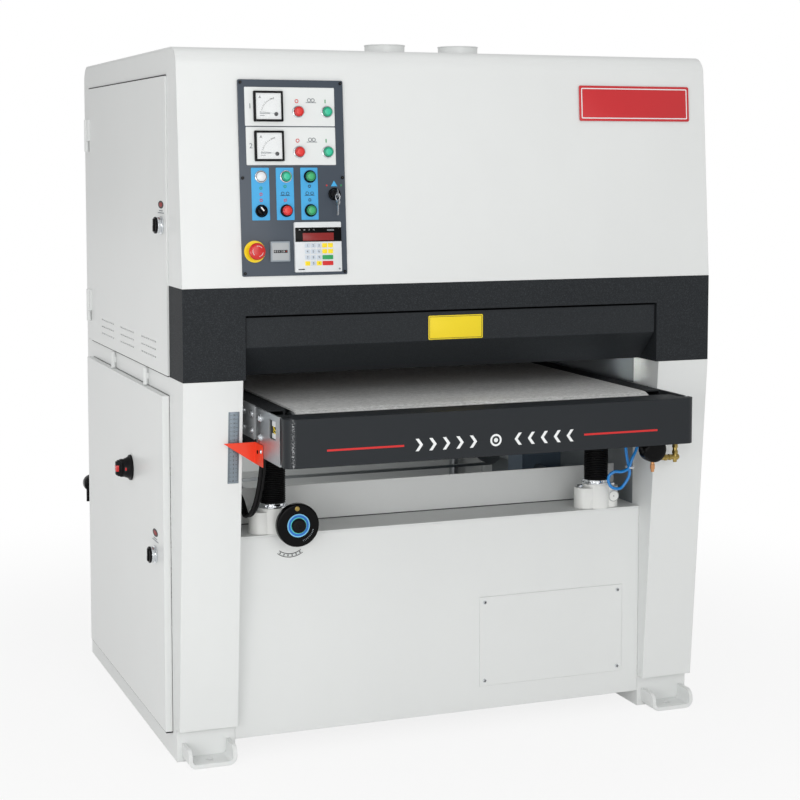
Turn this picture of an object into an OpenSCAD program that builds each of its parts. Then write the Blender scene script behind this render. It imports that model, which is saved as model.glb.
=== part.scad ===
// Wide belt sander with two sanding heads over a rising conveyor table.
// Millimetres, +Z up. The origin is on the floor, at the middle of the four foot holes.

/* [Cabinet] */
// Width over the side walls
cabinet_w = 1400; // [1360:5:1480]
// Depth of the base, front panel to rear panel
base_d = 1035; // [1000:5:1100]
// Width of each side cabinet
post_w = 145; // [138:1:150]
// Height of the underside of the head
head_z = 935; // [915:5:960]
// Height to the top of the hood
hood_z = 1717; // [1700:1:1800]
// How far the front band stands ahead of the base
band_reach = 96; // [85:1:110]
// Height of the front band
band_h = 219; // [190:1:230]
// Depth of the front band along the sides
band_d = 130; // [120:1:140]
// Lean of the hood's front over its height
hood_lean = 41; // [30:1:50]
// Radius of the hood's top edges
hood_r = 45; // [30:1:55]
// Cabinet sheet thickness
sheet = 4; // [3:0.5:5]

/* [Base front] */
// Height of the ledge that carries the jacks
ledge_z = 540; // [520:1:550]
// Depth of the ledge
ledge_d = 143; // [125:1:150]
// Height of the inner upright panel
upright_z = 631; // [620:1:640]
// Height of the front panel's lower edge
panel_bottom_z = 41; // [20:1:60]
// Height of the post covers' lower edge
cover_bottom_z = 81; // [60:1:100]
// How far the post covers stand out at the lower edge
cover_toe = 28; // [15:1:40]
// Width of the access plate
access_w = 410; // [360:5:440]
// Height of the access plate
access_h = 233; // [200:1:260]

/* [Foot lugs] */
// Width of a foot lug
lug_w = 120; // [100:1:130]
// Depth of a foot lug
lug_d = 65; // [55:1:75]
// Height of a lug's side flanges
lug_h = 46; // [35:1:55]
// Plate thickness of a lug
lug_t = 10; // [8:1:12]
// Diameter of the floor bolt hole
lug_hole_d = 18; // [14:1:22]
// Foot lug outer bend radius
lug_bend = 20; // [16:1:26]
// Foot lug wall front radius
lug_round = 22; // [12:1:28]

/* [Sanding heads] */
// Front head's distance behind the base front panel
head_first = 289; // [270:1:300]
// Distance between the two heads
head_pitch = 385; // [370:1:400]
// Contact drum diameter
drum_d = 140; // [130:1:150]
// Gap from a contact drum's end to the side cabinet
drum_gap = 70; // [65:1:74]
// Tension roller diameter
tension_d = 100; // [90:1:110]
// Margin from an abrasive belt's edge to the drum's end
abrasive_margin = 10; // [7:1:25]
// Distance between drum and tension roller axes
head_rise = 570; // [550:1:580]
// Shaft diameter of drums and tension rollers
head_shaft_d = 40; // [36:1:44]
// Height of the head beam's section
beam_h = 140; // [120:1:160]
// Depth of the head beam's section
beam_d = 70; // [60:1:76]

/* [Head drives] */
// Spindle motor body diameter
motor_d = 220; // [200:1:230]
// Spindle motor body length
motor_l = 320; // [280:1:340]
// Motor pulley diameter
motor_pulley_d = 150; // [140:1:160]
// Drum pulley diameter
drum_pulley_d = 104; // [100:1:112]
// Width of the drive belts and pulleys
pulley_w = 44; // [40:1:48]

/* [Conveyor table] */
// Height of the feed belt's upper face
belt_z = 874; // [866:1:880]
// Margin from the feed belt's edge to the rail
belt_margin = 13; // [10:1:25]
// Feed belt thickness
belt_t = 5; // [4:0.5:6]
// Feed roller diameter
roller_d = 89; // [84:1:92]
// Feed roller axes beyond the base, front and rear
roller_reach = 185.5; // [180:0.5:190]
// Gap between a table rail and the side cabinet
rail_gap = 34; // [32:1:40]
// Width of a table rail
rail_t = 46; // [42:1:50]
// Bed plate thickness
bed_t = 12; // [10:1:14]
// Depth of the cross beams under the table
cross_h = 34; // [30:1:36]

/* [Stop bar] */
// Front face ahead of the front roller axis
bar_reach = 149.5; // [145:0.5:160]
// Height of the stop bar
bar_h = 112; // [100:1:116]
// Depth of the stop bar's top flange
bar_flange = 80; // [70:1:84]
// Radius of the bar's front corners
bar_r = 22; // [15:1:26]
// Push travel of the stop bar
bar_travel = 10; // [6:1:11]

/* [Lift] */
// Gap between a jack screw's axis and the side cabinet
jack_gap = 110; // [105:1:119]
// Jack screw axes behind the base front panel
jack_inset = 35; // [32:1:45]
// Jack screw diameter
screw_d = 30; // [26:1:34]
// Jack housing width
jack_w = 122; // [116:1:126]
// Jack housing depth
jack_d = 60; // [56:1:66]
// Jack housing height
jack_h = 44; // [42:1:48]
// Bellows outer diameter
bellows_d = 64; // [60:1:66]
// Bellows folds
bellows_folds = 11; // [8:1:14]
// Handwheel diameter
wheel_d = 106; // [96:1:112]
// Lift shaft diameter
lift_shaft_d = 20; // [18:1:22]

/* [Control panel] */
// Panel width
panel_w = 261; // [250:1:270]
// Panel height
panel_h = 463; // [450:1:480]
// Panel's left edge from the cabinet's left side
panel_left = 145; // [120:1:160]
// Panel's lower edge above the band, along the hood front
panel_low = 26; // [15:1:40]
// Push button cap diameter
button_d = 23; // [21:0.5:24]
// Button bezel diameter
bezel_d = 30; // [29:0.5:31]
// Push button travel
button_travel = 4; // [2:0.5:4.5]
// Ammeter face size
meter_size = 72; // [68:1:74]

/* [Doors] */
// Height of the lower door's lower edge
plinth_z = 63; // [50:1:75]
// Height of the strip between the doors
sill_h = 45; // [42:1:48]
// Depth of the lower door
lower_door_t = 18; // [14:1:22]
// Depth of the upper door's pan
upper_door_t = 20; // [16:1:24]
// Width of the rear stiles
rear_stile = 80; // [70:1:90]
// Depth of the rail above the upper door
top_rail = 64; // [55:1:75]
// Door lock diameter
lock_d = 44; // [38:1:48]

/* [Dust ports] */
// Outer diameter of a dust port
port_d = 102; // [95:1:110]
// Height of a dust port above the hood
port_h = 26; // [18:1:40]
// Dust ports from the centre line
port_x = 101; // [90:1:120]
// Dust ports behind the front band
port_back = 262; // [240:1:280]

/* [Hidden] */
$fn = 48;
// Cut overrun, seam between neighbouring plates and running clearance of shafts
overrun = 1;
seam = 0.3;
run_fit = 0.05;
// Room kept between moving pieces that pass each other
pass_gap = 3;

// Cabinet places
side_x = cabinet_w / 2;
inner_x = side_x - post_w;
front_y = -base_d / 2;
rear_y = base_d / 2;
band_y = front_y - band_reach;
band_top = head_z + band_h;
hood_y = band_y + 2 * seam;
hood_top_y = hood_y + hood_lean;
lean = atan(hood_lean / (hood_z - band_top));
door_front_y = band_y + band_d + pass_gap;
door_rear_y = rear_y - rear_stile;
sill_z = head_z - sill_h;
upper_door_top = hood_z - top_rail;
wall_t = 6;
drive_wall_t = 8;
drive_wall_drop = 90;
drive_wall_top = hood_z - drive_wall_drop;
drive_wall_x = inner_x + drive_wall_t;

// Band and guard
recess_margin = 7;
recess_x = inner_x - recess_margin;
recess_h = 152;
guard_gap = 2.5;
guard_bend_z = head_z + recess_h / 2;
guard_set_back = 7;
guard_low_back = 84;
guard_top_gap = 5;
guard_t = 3;
guard_pad_w = 60;
guard_pad_d = 40;
guard_pad_share = 0.6;

// Base pieces
cross_tube = 60;
tube_wall = 4;
deck_t = 8;
deck_front = 190;
deck_rear = 160;
deck_z = panel_bottom_z + cross_tube + seam;
access_gap = 49;
access_x = inner_x - access_gap - access_w / 2;
access_z = 218;
access_t = 2;

// Head pieces
head_ys = [front_y + head_first, front_y + head_first + head_pitch];
abrasive_t = 1.5;
abrasive_air = 2;
drum_z = head_z + abrasive_air + abrasive_t + seam + drum_d / 2;
tension_z = drum_z + head_rise;
beam_rise = 190;
beam_z = drum_z + beam_rise;
end_block_t = 36;
end_block_x = -inner_x + seam;
end_block_d = 84;
clamp_w = 60;
clamp_l = 85;
clamp_h = 74;
shoe_d = 30;
shoe_h = 56;
shoe_off = 120;
barrel_d = 60;
barrel_h = 90;
rod_d = 25;
yoke_h = 40;
yoke_d = 50;
yoke_z = tension_z - tension_d / 2 - 2 * pass_gap - yoke_h;
yoke_arm_t = 16;
yoke_arm_d = 60;
drum_end = inner_x - drum_gap;
drum_l = 2 * drum_end;
abrasive_w = drum_l - 2 * abrasive_margin;
arm_gap = 8;
arm_in = drum_end + arm_gap;
drum_shaft_out = 90;
drum_shaft_end = drive_wall_x + drum_shaft_out;
boss_d = 90;
boss_l = 26;

// Drive pieces
motor_foot_h = 12;
motor_axis_z = deck_z + deck_t + motor_d / 2 + motor_foot_h;
motor_foot_w = 150;
motor_shaft_d = 38;
motor_gap = 14;
pulley_gap = 46;
pulley_x = drive_wall_x + pulley_gap;
drive_belt_t = 10;
terminal_h = 8;

// Table places
roller_y = rear_y + roller_reach;
roller_pitch = 2 * roller_y;
roller_z = belt_z - belt_t - seam - roller_d / 2;
loop_bottom = roller_z - roller_d / 2 - seam - belt_t;
rail_out = inner_x - rail_gap;
rail_in = rail_out - rail_t;
belt_w = 2 * (rail_in - belt_margin);
rail_step = 2;
rail_top = belt_z - rail_step;
return_gap = 6;
cross_top = loop_bottom - return_gap;
cross_bottom = cross_top - cross_h;
rail_bottom = cross_top + seam;
journal_d = 30;
rail_short = journal_d / 2 + pass_gap;
rail_end = roller_y - rail_short;
block_reach = 34;
block_end = roller_y + block_reach;
block_h = 72;
bed_top = belt_z - belt_t - seam;
bed_short = 16;
bed_end = roller_y - roller_d / 2 - bed_short;
bed_tube_w = 60;
bed_tube_h = 44;
cross_d = 80;
gusset_t = 5;
gusset_l = 110;
gusset_drop = 80;
bolt_head_d = 14;
bolt_head_h = 5;

// Stop bar places
bar_y = -roller_y - bar_reach;
bar_top = belt_z - rail_step;
bar_t = 4;
bar_end_d = 34;
bracket_t = 4;
bar_x = rail_out + seam + bracket_t;
bracket_front = bar_y + bar_end_d + bar_travel + pass_gap;
bracket_l = 185;
bracket_drop = 114;
window_w = 50;
window_h = 44;
guide_d = 14;
guide_wall = 6;
guide_x = rail_out - rail_t / 2;
guide_l = 84;
sleeve_reach = 18;

// Height pointer
pointer_reach = 78;
pointer_root = 52;
pointer_drop = 84;
pointer_t = 2;
pointer_flange = 58;
pointer_ahead = 2;

// Feed gear motor
gear_size = 110;
gear_shares = [0.75, 0.33];
feed_motor_d = 99;
feed_motor_l = 165;
bolt_y_shares = [0.2, 0.8];
bolt_z_shares = [0.25, 0.75];

// Jack places
jack_x = inner_x - jack_gap;
jack_y = -front_y - jack_inset;
pad_h = 11;
jack_top = ledge_z + pad_h + jack_h;
boss_ring_d = 76;
boss_ring_h = 9;
ring_top = jack_top + boss_ring_h;
lift_x = 36;
lift_rise = 20;
lift_z = ledge_z + pad_h + lift_rise;
screw_flange_d = 66;
screw_flange_t = 6;
screw_tail = 140;
screw_low = ledge_z - screw_tail;
ledge_hole_d = screw_d + 4 * pass_gap;
bellows_low = ring_top + seam;
bellows_high = cross_bottom - seam - screw_flange_t - seam;
bellows_wall = 2;
bellows_depth = 8;
worm_hole_d = lift_shaft_d + 2 * pass_gap;
cap_d = 30;
cap_t = 3;
blind_t = 12;
wheel_back = 34;
wheel_y = band_y + wheel_back;
wheel_t = 22;
wheel_hub_d = 36;
wheel_hub_h = 10;
sprocket_d = 84;
sprocket_t = 10;
chain_y = 300;
chain_t = 8;
lift_gear = 96;
lift_motor_d = 110;
lift_motor_l = 190;

// Panel places, as shares of its width and height
panel_t = 2;
fit_out = panel_t + 2 * seam;
face_out = fit_out + seam;
bezel_t = 5;
panel_x = -side_x + panel_left;
lamp_share = [0.194, 0.506];
meter_shares = [[0.281, 0.864], [0.281, 0.662]];
head_stop_shares = [[0.565, 0.838], [0.565, 0.632]];
head_start_shares = [[0.838, 0.838], [0.838, 0.632]];
feed_start_share = [0.430, 0.506];
feed_stop_share = [0.430, 0.332];
table_up_share = [0.660, 0.506];
table_down_share = [0.660, 0.332];
selector_share = [0.194, 0.332];
key_share = [0.892, 0.415];
stop_share = [0.119, 0.126];
hour_share = [0.354, 0.124];
controller_share = [0.716, 0.144];
screw_shares = [[0.025, 0.985], [0.975, 0.985], [0.025, 0.5], [0.975, 0.5], [0.025, 0.015], [0.975, 0.015]];
meter_depth = 14;
hour_size = 48;
hour_depth = 9;
controller_w = 117;
controller_h = 119;
controller_depth = 8;
button_lift = 6;
collar_d = 56;
collar_t = 4;
mushroom_d = 40;
mushroom_t = 12;
mushroom_stem_d = 24;
mushroom_lift = 14;
knob_d = 22;
knob_t = 16;
key_barrel_d = 20;
key_barrel_t = 7;
key_blade_t = 2.5;
key_bow_w = 22;
key_bow_l = 26;
key_slot_l = 9;
panel_screw_d = 7;
panel_screw_t = 2;

// Door pieces
hinge_d = 14;
pin_d = 8;
hinge_l = 60;
hinge_step = 2;
hinge_y = door_rear_y + hinge_d / 2 + hinge_step;
hinge_out = 9;
hinge_x = -side_x - hinge_out;
hinge_share = 0.12;
door_gap = 1.5;
upper_low = head_z + door_gap;
upper_tall = upper_door_top - door_gap - upper_low;
lower_low = plinth_z + door_gap;
lower_tall = sill_z - door_gap - lower_low;
overlap = 12;
upper_lock_y = 179;
upper_lock_z = 1297;
lower_lock_y = 220;
lower_lock_z = 487;
lock_base_t = 8;
lock_knob_d = 34;
lock_knob_t = 14;
lock_grip_w = 9;
switch_y = 488;
switch_z = 659;
switch_base = 66;
switch_base_t = 6;
switch_d = 52;
switch_t = 16;
switch_grip_w = 16;
switch_grip_t = 19;
louvre_ys = [205, 453, 698];
louvre_z = 33;
louvre_l = 16;
louvre_h = 4;
louvre_pitch = 24;
louvre_row = 19;
louvre_cols = 7;
louvre_rows = 3;
cover_t = 12;
peg_d = 12;
peg_out = 8;
peg_ahead = 31;

// Air pieces
reg_x = 3;
reg_y = 52;
reg_drop = 56;
reg_d = 66;
reg_l = 44;
reg_stem_d = 14;
reg_arm = 42;
reg_arm_d = 14;
plug_d = 13;
plug_l = 26;
filter_x = 62;
filter_z = 473;
filter_d = 46;
filter_h = 110;
filter_head = 54;
dial_d = 48;
dial_t = 30;
drain_d = 9;
drain_l = 29;
inlet_d = 13;
inlet_l = 14;
air_d = 8;
// Way of the air tube from the right rail's lower edge, level with the band
air_way = [
    [-24, 55.5, -0.7], [-28, 57.5, -45], [-25, 57.5, -83], [-17.5, 55.5, -122], [-20, 55.5, -142],
    [-38, 57.5, -167], [-55, 57.5, -170], [-72, 55.5, -162], [-81, 51.5, -145], [-79, 46.5, -130],
    [-66, 42.5, -122], [-48, 40.5, -123], [-29, 39.5, -115], [-19, 39.5, -92], [-3, 39.5, -55],
    [-6, 39.5, -0.7]
];
cable_d = 15;
// Way of the cable from the left rail's height to the left post
cable_way = [
    [55, 23.5, -0.7], [53, 24.5, -48.7], [47, 27.5, -98.7], [39, 35.5, -140.7], [31, 51.5, -164.7],
    [25, 71.5, -170.7], [24, 89.5, -156.7], [21, 104.5, -136.7], [15, 112.5, -123.7],
    [8, 114.5, -119.7], [0.7, 114.5, -119.7]
];
sweep_sides = 10;
sweep_steps = 5;
sweep_side = [1, 0.1, 0.2];
arc_steps = 10;

// Electrics
plate_t = 3;
plate_margin = 110;
block_rows = [0.28, 0.5, 0.72];
block_shares = [0.12, 0.24, 0.36, 0.48, 0.60, 0.72, 0.84];
contactor_w = 54;
contactor_t = 46;
contactor_tall = 84;

function arc(c, r, from, to, steps) =
    [for (i = [0:steps]) c + r * [cos(from + (to - from) * i / steps),
        sin(from + (to - from) * i / steps)]];

// Outline of a belt round a low wheel and a high wheel, open side first
function belt_line(low_r, high_r, rise, steps = 28) =
    let (tilt = asin((low_r - high_r) / rise))
    concat(arc([0, rise], high_r, tilt, 180 - tilt, steps), arc([0, 0], low_r, 180 - tilt, 360 + tilt,
        steps));

// The same outline laid on its side
function laid(points) = [for (p = points) [p[1], p[0]]];

// Smooth curve through route points
function curve(p, i, t) =
    let (n = len(p) - 1)
    let (a = p[max(i - 1, 0)])
    let (b = p[i])
    let (c = p[min(i + 1, n)])
    let (d = p[min(i + 2, n)])
    (2 * b + (c - a) * t + (2 * a - 5 * b + 4 * c - d) * t * t + (3 * b - a - 3 * c + d) * t * t * t) / 2;
function curve_points(p, steps) =
    concat([for (i = [0:len(p) - 2], s = [0:steps - 1]) curve(p, i, s / steps)], [p[len(p) - 1]]);
function unit(v) = v / norm(v);
function moved(points, by) = [for (p = points) p + by];

module box(low, high) {
    translate(low)
        cube(high - low);
}

// A box on both sides of the machine
module both_sides(low, high) {
    box(low, high);
    mirror([1, 0, 0])
        box(low, high);
}

module rod_x(x, y, z, d, l) {
    translate([x, y, z])
        rotate([0, 90, 0])
            cylinder(d = d, h = l);
}

module rod_y(x, y, z, d, l) {
    translate([x, y, z])
        rotate([-90, 0, 0])
            cylinder(d = d, h = l);
}

module rod_z(x, y, z, d, l) {
    translate([x, y, z])
        cylinder(d = d, h = l);
}

// Side profile drawn as [y, z] points, run along X
module side_prism(points, x, w) {
    translate([x, 0, 0])
        rotate([90, 0, 90])
            linear_extrude(w)
                polygon(points);
}

// Front profile drawn as [x, z] points, run along Y
module front_prism(points, y, d) {
    translate([0, y + d, 0])
        rotate([90, 0, 0])
            linear_extrude(d)
                polygon(points);
}

// Puts children on the leaning hood front: +Z out of the face, +Y up the face
module on_hood(x, up, out) {
    translate([x, hood_y, band_top])
        rotate([90 - lean, 0, 0])
            translate([0, up, out])
                children();
}

// Puts children at a panel share
module on_panel(share, out) {
    on_hood(panel_x + share[0] * panel_w, panel_low + share[1] * panel_h, out)
        children();
}

// Round tube swept along a route
module sweep(route, d) {
    pts = curve_points(route, sweep_steps);
    n = len(pts);
    rings = [for (i = [0:n - 1])
        let (dir = unit(pts[min(i + 1, n - 1)] - pts[max(i - 1, 0)]))
        let (side = unit(cross(dir, sweep_side)))
        let (up = cross(side, dir))
        [for (k = [0:sweep_sides - 1])
            pts[i] + d / 2 * (side * cos(360 * k / sweep_sides) + up * sin(360 * k / sweep_sides))]];
    points = [for (ring = rings) each ring];
    walls = [for (i = [0:n - 2], k = [0:sweep_sides - 1])
        [i * sweep_sides + k, i * sweep_sides + (k + 1) % sweep_sides,
            (i + 1) * sweep_sides + (k + 1) % sweep_sides, (i + 1) * sweep_sides + k]];
    first = [for (k = [0:sweep_sides - 1]) sweep_sides - 1 - k];
    last = [for (k = [0:sweep_sides - 1]) (n - 1) * sweep_sides + k];
    polyhedron(points, concat(walls, [first, last]));
}

// Upright corner post, a box tube
module post(x, from_y, to_y) {
    difference() {
        box([x, from_y, 0], [x + post_w, to_y, head_z - seam]);
        box([x + tube_wall, from_y + tube_wall, -overrun],
            [x + post_w - tube_wall, to_y - tube_wall, head_z + overrun]);
    }
}

// Box tube that runs along Y between the posts
module side_tube(x, low, high) {
    difference() {
        box([x, door_front_y + seam, low], [x + post_w, door_rear_y - seam, high]);
        box([x + tube_wall, door_front_y, low + tube_wall],
            [x + post_w - tube_wall, door_rear_y, high - tube_wall]);
    }
}

// Box tube that runs along X between the side cabinets
module cross_tube_x(y) {
    reach = inner_x - seam;
    difference() {
        box([-reach, y, panel_bottom_z], [reach, y + cross_tube, panel_bottom_z + cross_tube]);
        box([-reach - overrun, y + tube_wall, panel_bottom_z + tube_wall],
            [reach + overrun, y + cross_tube - tube_wall, panel_bottom_z + cross_tube - tube_wall]);
    }
}

module base_frame() {
    color([0.86, 0.87, 0.87]) {
        for (x = [-side_x, inner_x]) {
            post(x, front_y, door_front_y);
            post(x, door_rear_y, rear_y);
            side_tube(x, 0, plinth_z - seam);
        }
        side_tube(-side_x, sill_z, head_z - seam);
        box([-inner_x - wall_t, door_front_y + seam, plinth_z],
            [-inner_x, door_rear_y - seam, sill_z - seam]);
        cross_tube_x(front_y + sheet + seam);
        cross_tube_x(rear_y - sheet - seam - cross_tube);
        for (x = [-inner_x + seam, inner_x - seam - cross_tube])
            box([x, front_y + sheet + 2 * seam + cross_tube, panel_bottom_z],
                [x + cross_tube, rear_y - sheet - 2 * seam - cross_tube, panel_bottom_z + cross_tube]);
        box([-inner_x + seam, front_y + deck_front, deck_z],
            [inner_x - seam, rear_y - deck_rear, deck_z + deck_t]);
    }
}

// Front half of the bent base panelling, in three folds
module panel_folds() {
    reach = inner_x - seam;
    box([-reach, front_y, panel_bottom_z], [reach, front_y + sheet, ledge_z - sheet - seam]);
    difference() {
        box([-reach, front_y, ledge_z - sheet], [reach, front_y + ledge_d, ledge_z]);
        for (x = [-jack_x, jack_x])
            rod_z(x, -jack_y, ledge_z - sheet - overrun, ledge_hole_d, sheet + 2 * overrun);
    }
}

// Inner upright behind the jacks, cleared for the two lift shafts
module upright(y) {
    reach = inner_x - seam;
    difference() {
        box([-reach, y, ledge_z - sheet], [reach, y + sheet, upright_z]);
        for (x = [-jack_x + lift_x, jack_x + lift_x])
            rod_y(x, y - overrun, lift_z, worm_hole_d, sheet + 2 * overrun);
    }
}

module base_panels() {
    color([0.88, 0.89, 0.88]) {
        panel_folds();
        mirror([0, 1, 0])
            panel_folds();
        upright(front_y + ledge_d + seam);
        upright(rear_y - ledge_d - seam - sheet);
        box([access_x - access_w / 2, front_y - seam - access_t, access_z - access_h / 2],
            [access_x + access_w / 2, front_y - seam, access_z + access_h / 2]);
    }
}

module post_cover(x) {
    back = front_y - seam;
    top = head_z - seam;
    difference() {
        side_prism([[back, cover_bottom_z], [front_y - cover_toe, cover_bottom_z], [band_y, top],
            [back, top]],
            x, post_w);
        side_prism([[back + overrun, cover_bottom_z + sheet],
            [front_y - cover_toe + sheet, cover_bottom_z + sheet],
            [band_y + sheet, top - sheet], [back + overrun, top - sheet]], x + sheet, post_w - 2 * sheet);
    }
}

module post_covers() {
    color([0.90, 0.91, 0.90]) {
        post_cover(-side_x);
        post_cover(inner_x);
    }
}

// Channel bent from thick strap: flat foot, round bends, walls round at the front
module lug_block(x, front, low, wall, bend, tall) {
    half = lug_w / 2 - wall;
    bow = lug_w / 2 - lug_bend;
    box([x - half, front, lug_bend], [x + half, front + tall, lug_h + wall]);
    box([x - bow, front, low], [x + bow, front + tall, lug_h + wall]);
    for (side = [x - bow, x + bow])
        rod_y(side, front, lug_bend, 2 * bend, tall);
}

module foot_lug(x) {
    back = front_y - seam;
    front = back - lug_d;
    difference() {
        lug_block(x, front, 0, 0, lug_bend, lug_d);
        lug_block(x, front - overrun, lug_t, lug_t, lug_bend - lug_t, lug_d + 2 * overrun);
        difference() {
            box([x - lug_w, front - overrun, lug_h - lug_round],
                [x + lug_w, front + lug_round, lug_h + overrun]);
            rod_x(x - lug_w - overrun, front + lug_round, lug_h - lug_round, 2 * lug_round,
                2 * lug_w + 2 * overrun);
        }
        rod_z(x, back - lug_d / 2, -overrun, lug_hole_d, lug_t + 2 * overrun);
    }
}

module foot_lugs() {
    lug_x = side_x - post_w / 2;
    color([0.84, 0.85, 0.84])
        for (x = [-lug_x, lug_x]) {
            foot_lug(x);
            mirror([0, 1, 0])
                foot_lug(x);
        }
}

// One head's beam, end block, clamp, pressure shoes and tension cylinder
module head_set(y) {
    left = end_block_x + end_block_t + seam;
    right = inner_x - seam;
    difference() {
        box([left, y - beam_d / 2, beam_z], [right, y + beam_d / 2, beam_z + beam_h]);
        box([left - overrun, y - beam_d / 2 + tube_wall, beam_z + tube_wall],
            [right + overrun, y + beam_d / 2 - tube_wall, beam_z + beam_h - tube_wall]);
    }
    difference() {
        box([end_block_x, y - end_block_d / 2, head_z + abrasive_air],
            [end_block_x + end_block_t, y + end_block_d / 2, beam_z + beam_h]);
        rod_x(end_block_x - overrun, y, drum_z, head_shaft_d + 2 * run_fit, end_block_t + 2 * overrun);
    }
    box([end_block_x - seam - clamp_l, y - clamp_w / 2, head_z],
        [end_block_x - seam, y + clamp_w / 2, head_z + clamp_h]);
    for (off = [-shoe_off, shoe_off])
        box([end_block_x + seam, y + off - shoe_d / 2, head_z + abrasive_air],
            [right, y + off + shoe_d / 2, head_z + abrasive_air + shoe_h]);
    difference() {
        rod_z(0, y, beam_z + beam_h + seam, barrel_d, barrel_h);
        rod_z(0, y, beam_z + beam_h + barrel_h / 4, rod_d + 2 * run_fit, barrel_h);
    }
}

module head_frame() {
    color([0.30, 0.33, 0.36]) {
        for (y = head_ys)
            head_set(y);
        for (y = [head_ys[0] - shoe_off, head_ys[1] + shoe_off])
            box([-inner_x - clamp_l, y - shoe_d / 2, head_z],
                [end_block_x, y + shoe_d / 2, head_z + shoe_h]);
        box([-inner_x - clamp_l, head_ys[0] + shoe_off - shoe_d / 2, head_z],
            [end_block_x, head_ys[1] - shoe_off + shoe_d / 2, head_z + shoe_h]);
        difference() {
            union() {
                box([inner_x, door_front_y + seam, plinth_z],
                    [drive_wall_x, door_rear_y - seam, drive_wall_top]);
                for (y = head_ys)
                    rod_x(drive_wall_x - overrun, y, drum_z, boss_d, boss_l + overrun);
            }
            for (y = head_ys) {
                rod_x(inner_x - overrun, y, drum_z, head_shaft_d + 2 * run_fit,
                    drive_wall_t + boss_l + 2 * overrun);
                rod_x(inner_x - overrun, y, motor_axis_z, motor_shaft_d + 2 * run_fit,
                    drive_wall_t + 2 * overrun);
            }
        }
    }
}

// Front sheet of the hood: leaning face and rounded top edge
module hood_front_sheet() {
    outer = arc([hood_top_y + hood_r, hood_z - hood_r], hood_r, 180 - lean, 90, arc_steps);
    inner = arc([hood_top_y + hood_r, hood_z - hood_r], hood_r - sheet, 90, 180 - lean, arc_steps);
    side_prism(concat([[hood_y, band_top + seam]], outer, inner, [[hood_y + sheet, band_top + seam]]),
        -side_x, cabinet_w);
}

// Rear sheet of the hood, down to the outfeed throat
module hood_rear_sheet() {
    c = [rear_y - hood_r, hood_z - hood_r];
    side_prism(concat([[rear_y, head_z]], arc(c, hood_r, 0, 90, arc_steps), arc(c, hood_r - sheet, 90, 0,
        arc_steps),
        [[rear_y - sheet, head_z]]), -side_x, cabinet_w);
}

// Side sheets round one door opening
module hood_side_sheets(x) {
    top = hood_z - sheet - seam;
    r = hood_r - sheet - seam;
    front_c = [hood_top_y + hood_r, hood_z - hood_r];
    rear_c = [rear_y - hood_r, hood_z - hood_r];
    back = rear_y - sheet - seam;
    side_prism(concat([[door_front_y, band_top + seam], [hood_y + sheet + seam, band_top + seam]],
        arc(front_c, r, 180 - lean, 90, arc_steps), [[door_front_y, top]]), x, sheet);
    box([x, door_front_y + seam, upper_door_top], [x + sheet, door_rear_y - seam, top]);
    side_prism(concat([[door_rear_y, head_z], [back, head_z]], arc(rear_c, r, 0, 90, arc_steps),
        [[door_rear_y, top]]), x, sheet);
}

module hood() {
    color([0.90, 0.91, 0.90]) {
        hood_front_sheet();
        hood_rear_sheet();
        hood_side_sheets(-side_x);
        hood_side_sheets(side_x - sheet);
        difference() {
            box([-side_x, hood_top_y + hood_r + seam, hood_z - sheet],
                [side_x, rear_y - hood_r - seam, hood_z]);
            for (x = [-port_x, port_x])
                rod_z(x, band_y + port_back, hood_z - sheet - overrun, port_d - 2 * sheet,
                    sheet + 2 * overrun);
        }
    }
}

module dust_ports() {
    color([0.91, 0.92, 0.91])
        for (x = [-port_x, port_x])
            difference() {
                rod_z(x, band_y + port_back, hood_z + seam, port_d, port_h);
                rod_z(x, band_y + port_back, hood_z - overrun, port_d - 2 * sheet, port_h + 2 * overrun);
            }
}

module front_band() {
    back = band_y + band_d;
    color([0.20, 0.21, 0.22])
        difference() {
            box([-side_x, band_y, head_z], [side_x, back, band_top]);
            box([-recess_x, band_y - overrun, head_z - overrun],
                [recess_x, back + overrun, head_z + recess_h]);
            box([-side_x + sheet, band_y + sheet, head_z + recess_h + sheet],
                [side_x - sheet, back + overrun, band_top - sheet]);
            both_sides([recess_x + sheet, band_y + sheet, head_z + sheet],
                [side_x - sheet, back + overrun, band_top - sheet]);
        }
}

module infeed_guard() {
    reach = recess_x - guard_gap;
    face = band_y + guard_set_back;
    low = band_y + guard_low_back;
    top = head_z + recess_h - guard_top_gap;
    foot = head_z + abrasive_air;
    back = band_y + band_d - sheet;
    color([0.19, 0.20, 0.21]) {
        side_prism([[face, top], [face, guard_bend_z], [low, foot], [low + guard_t, foot],
            [low + guard_t, foot + guard_t], [face + guard_t, guard_bend_z + guard_t],
            [face + guard_t, top - guard_t], [back, top - guard_t], [back, top]], -reach, 2 * reach);
        for (x = [-guard_pad_share * reach, guard_pad_share * reach])
            box([x - guard_pad_w / 2, back - guard_pad_d, top - guard_t],
                [x + guard_pad_w / 2, back, head_z + recess_h - seam]);
    }
}

// Side cover over the belt drives, held by screws
module drive_cover() {
    color([0.87, 0.88, 0.87])
        difference() {
            box([side_x + seam, door_front_y - overlap, plinth_z],
                [side_x + cover_t, door_rear_y + overlap, upper_door_top + overlap]);
            box([side_x - overrun, door_front_y, plinth_z + overlap],
                [side_x + cover_t - sheet, door_rear_y, upper_door_top]);
            louvres(side_x + cover_t - sheet - overrun);
        }
}

// Three groups of slots through a side sheet
module louvres(x) {
    for (y = louvre_ys, col = [0:louvre_cols - 1], row = [0:louvre_rows - 1])
        translate([x, door_front_y + y + (col - louvre_cols / 2) * louvre_pitch,
            head_z + louvre_z + row * louvre_row])
            cube([sheet + 2 * overrun, louvre_l, louvre_h]);
}

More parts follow.
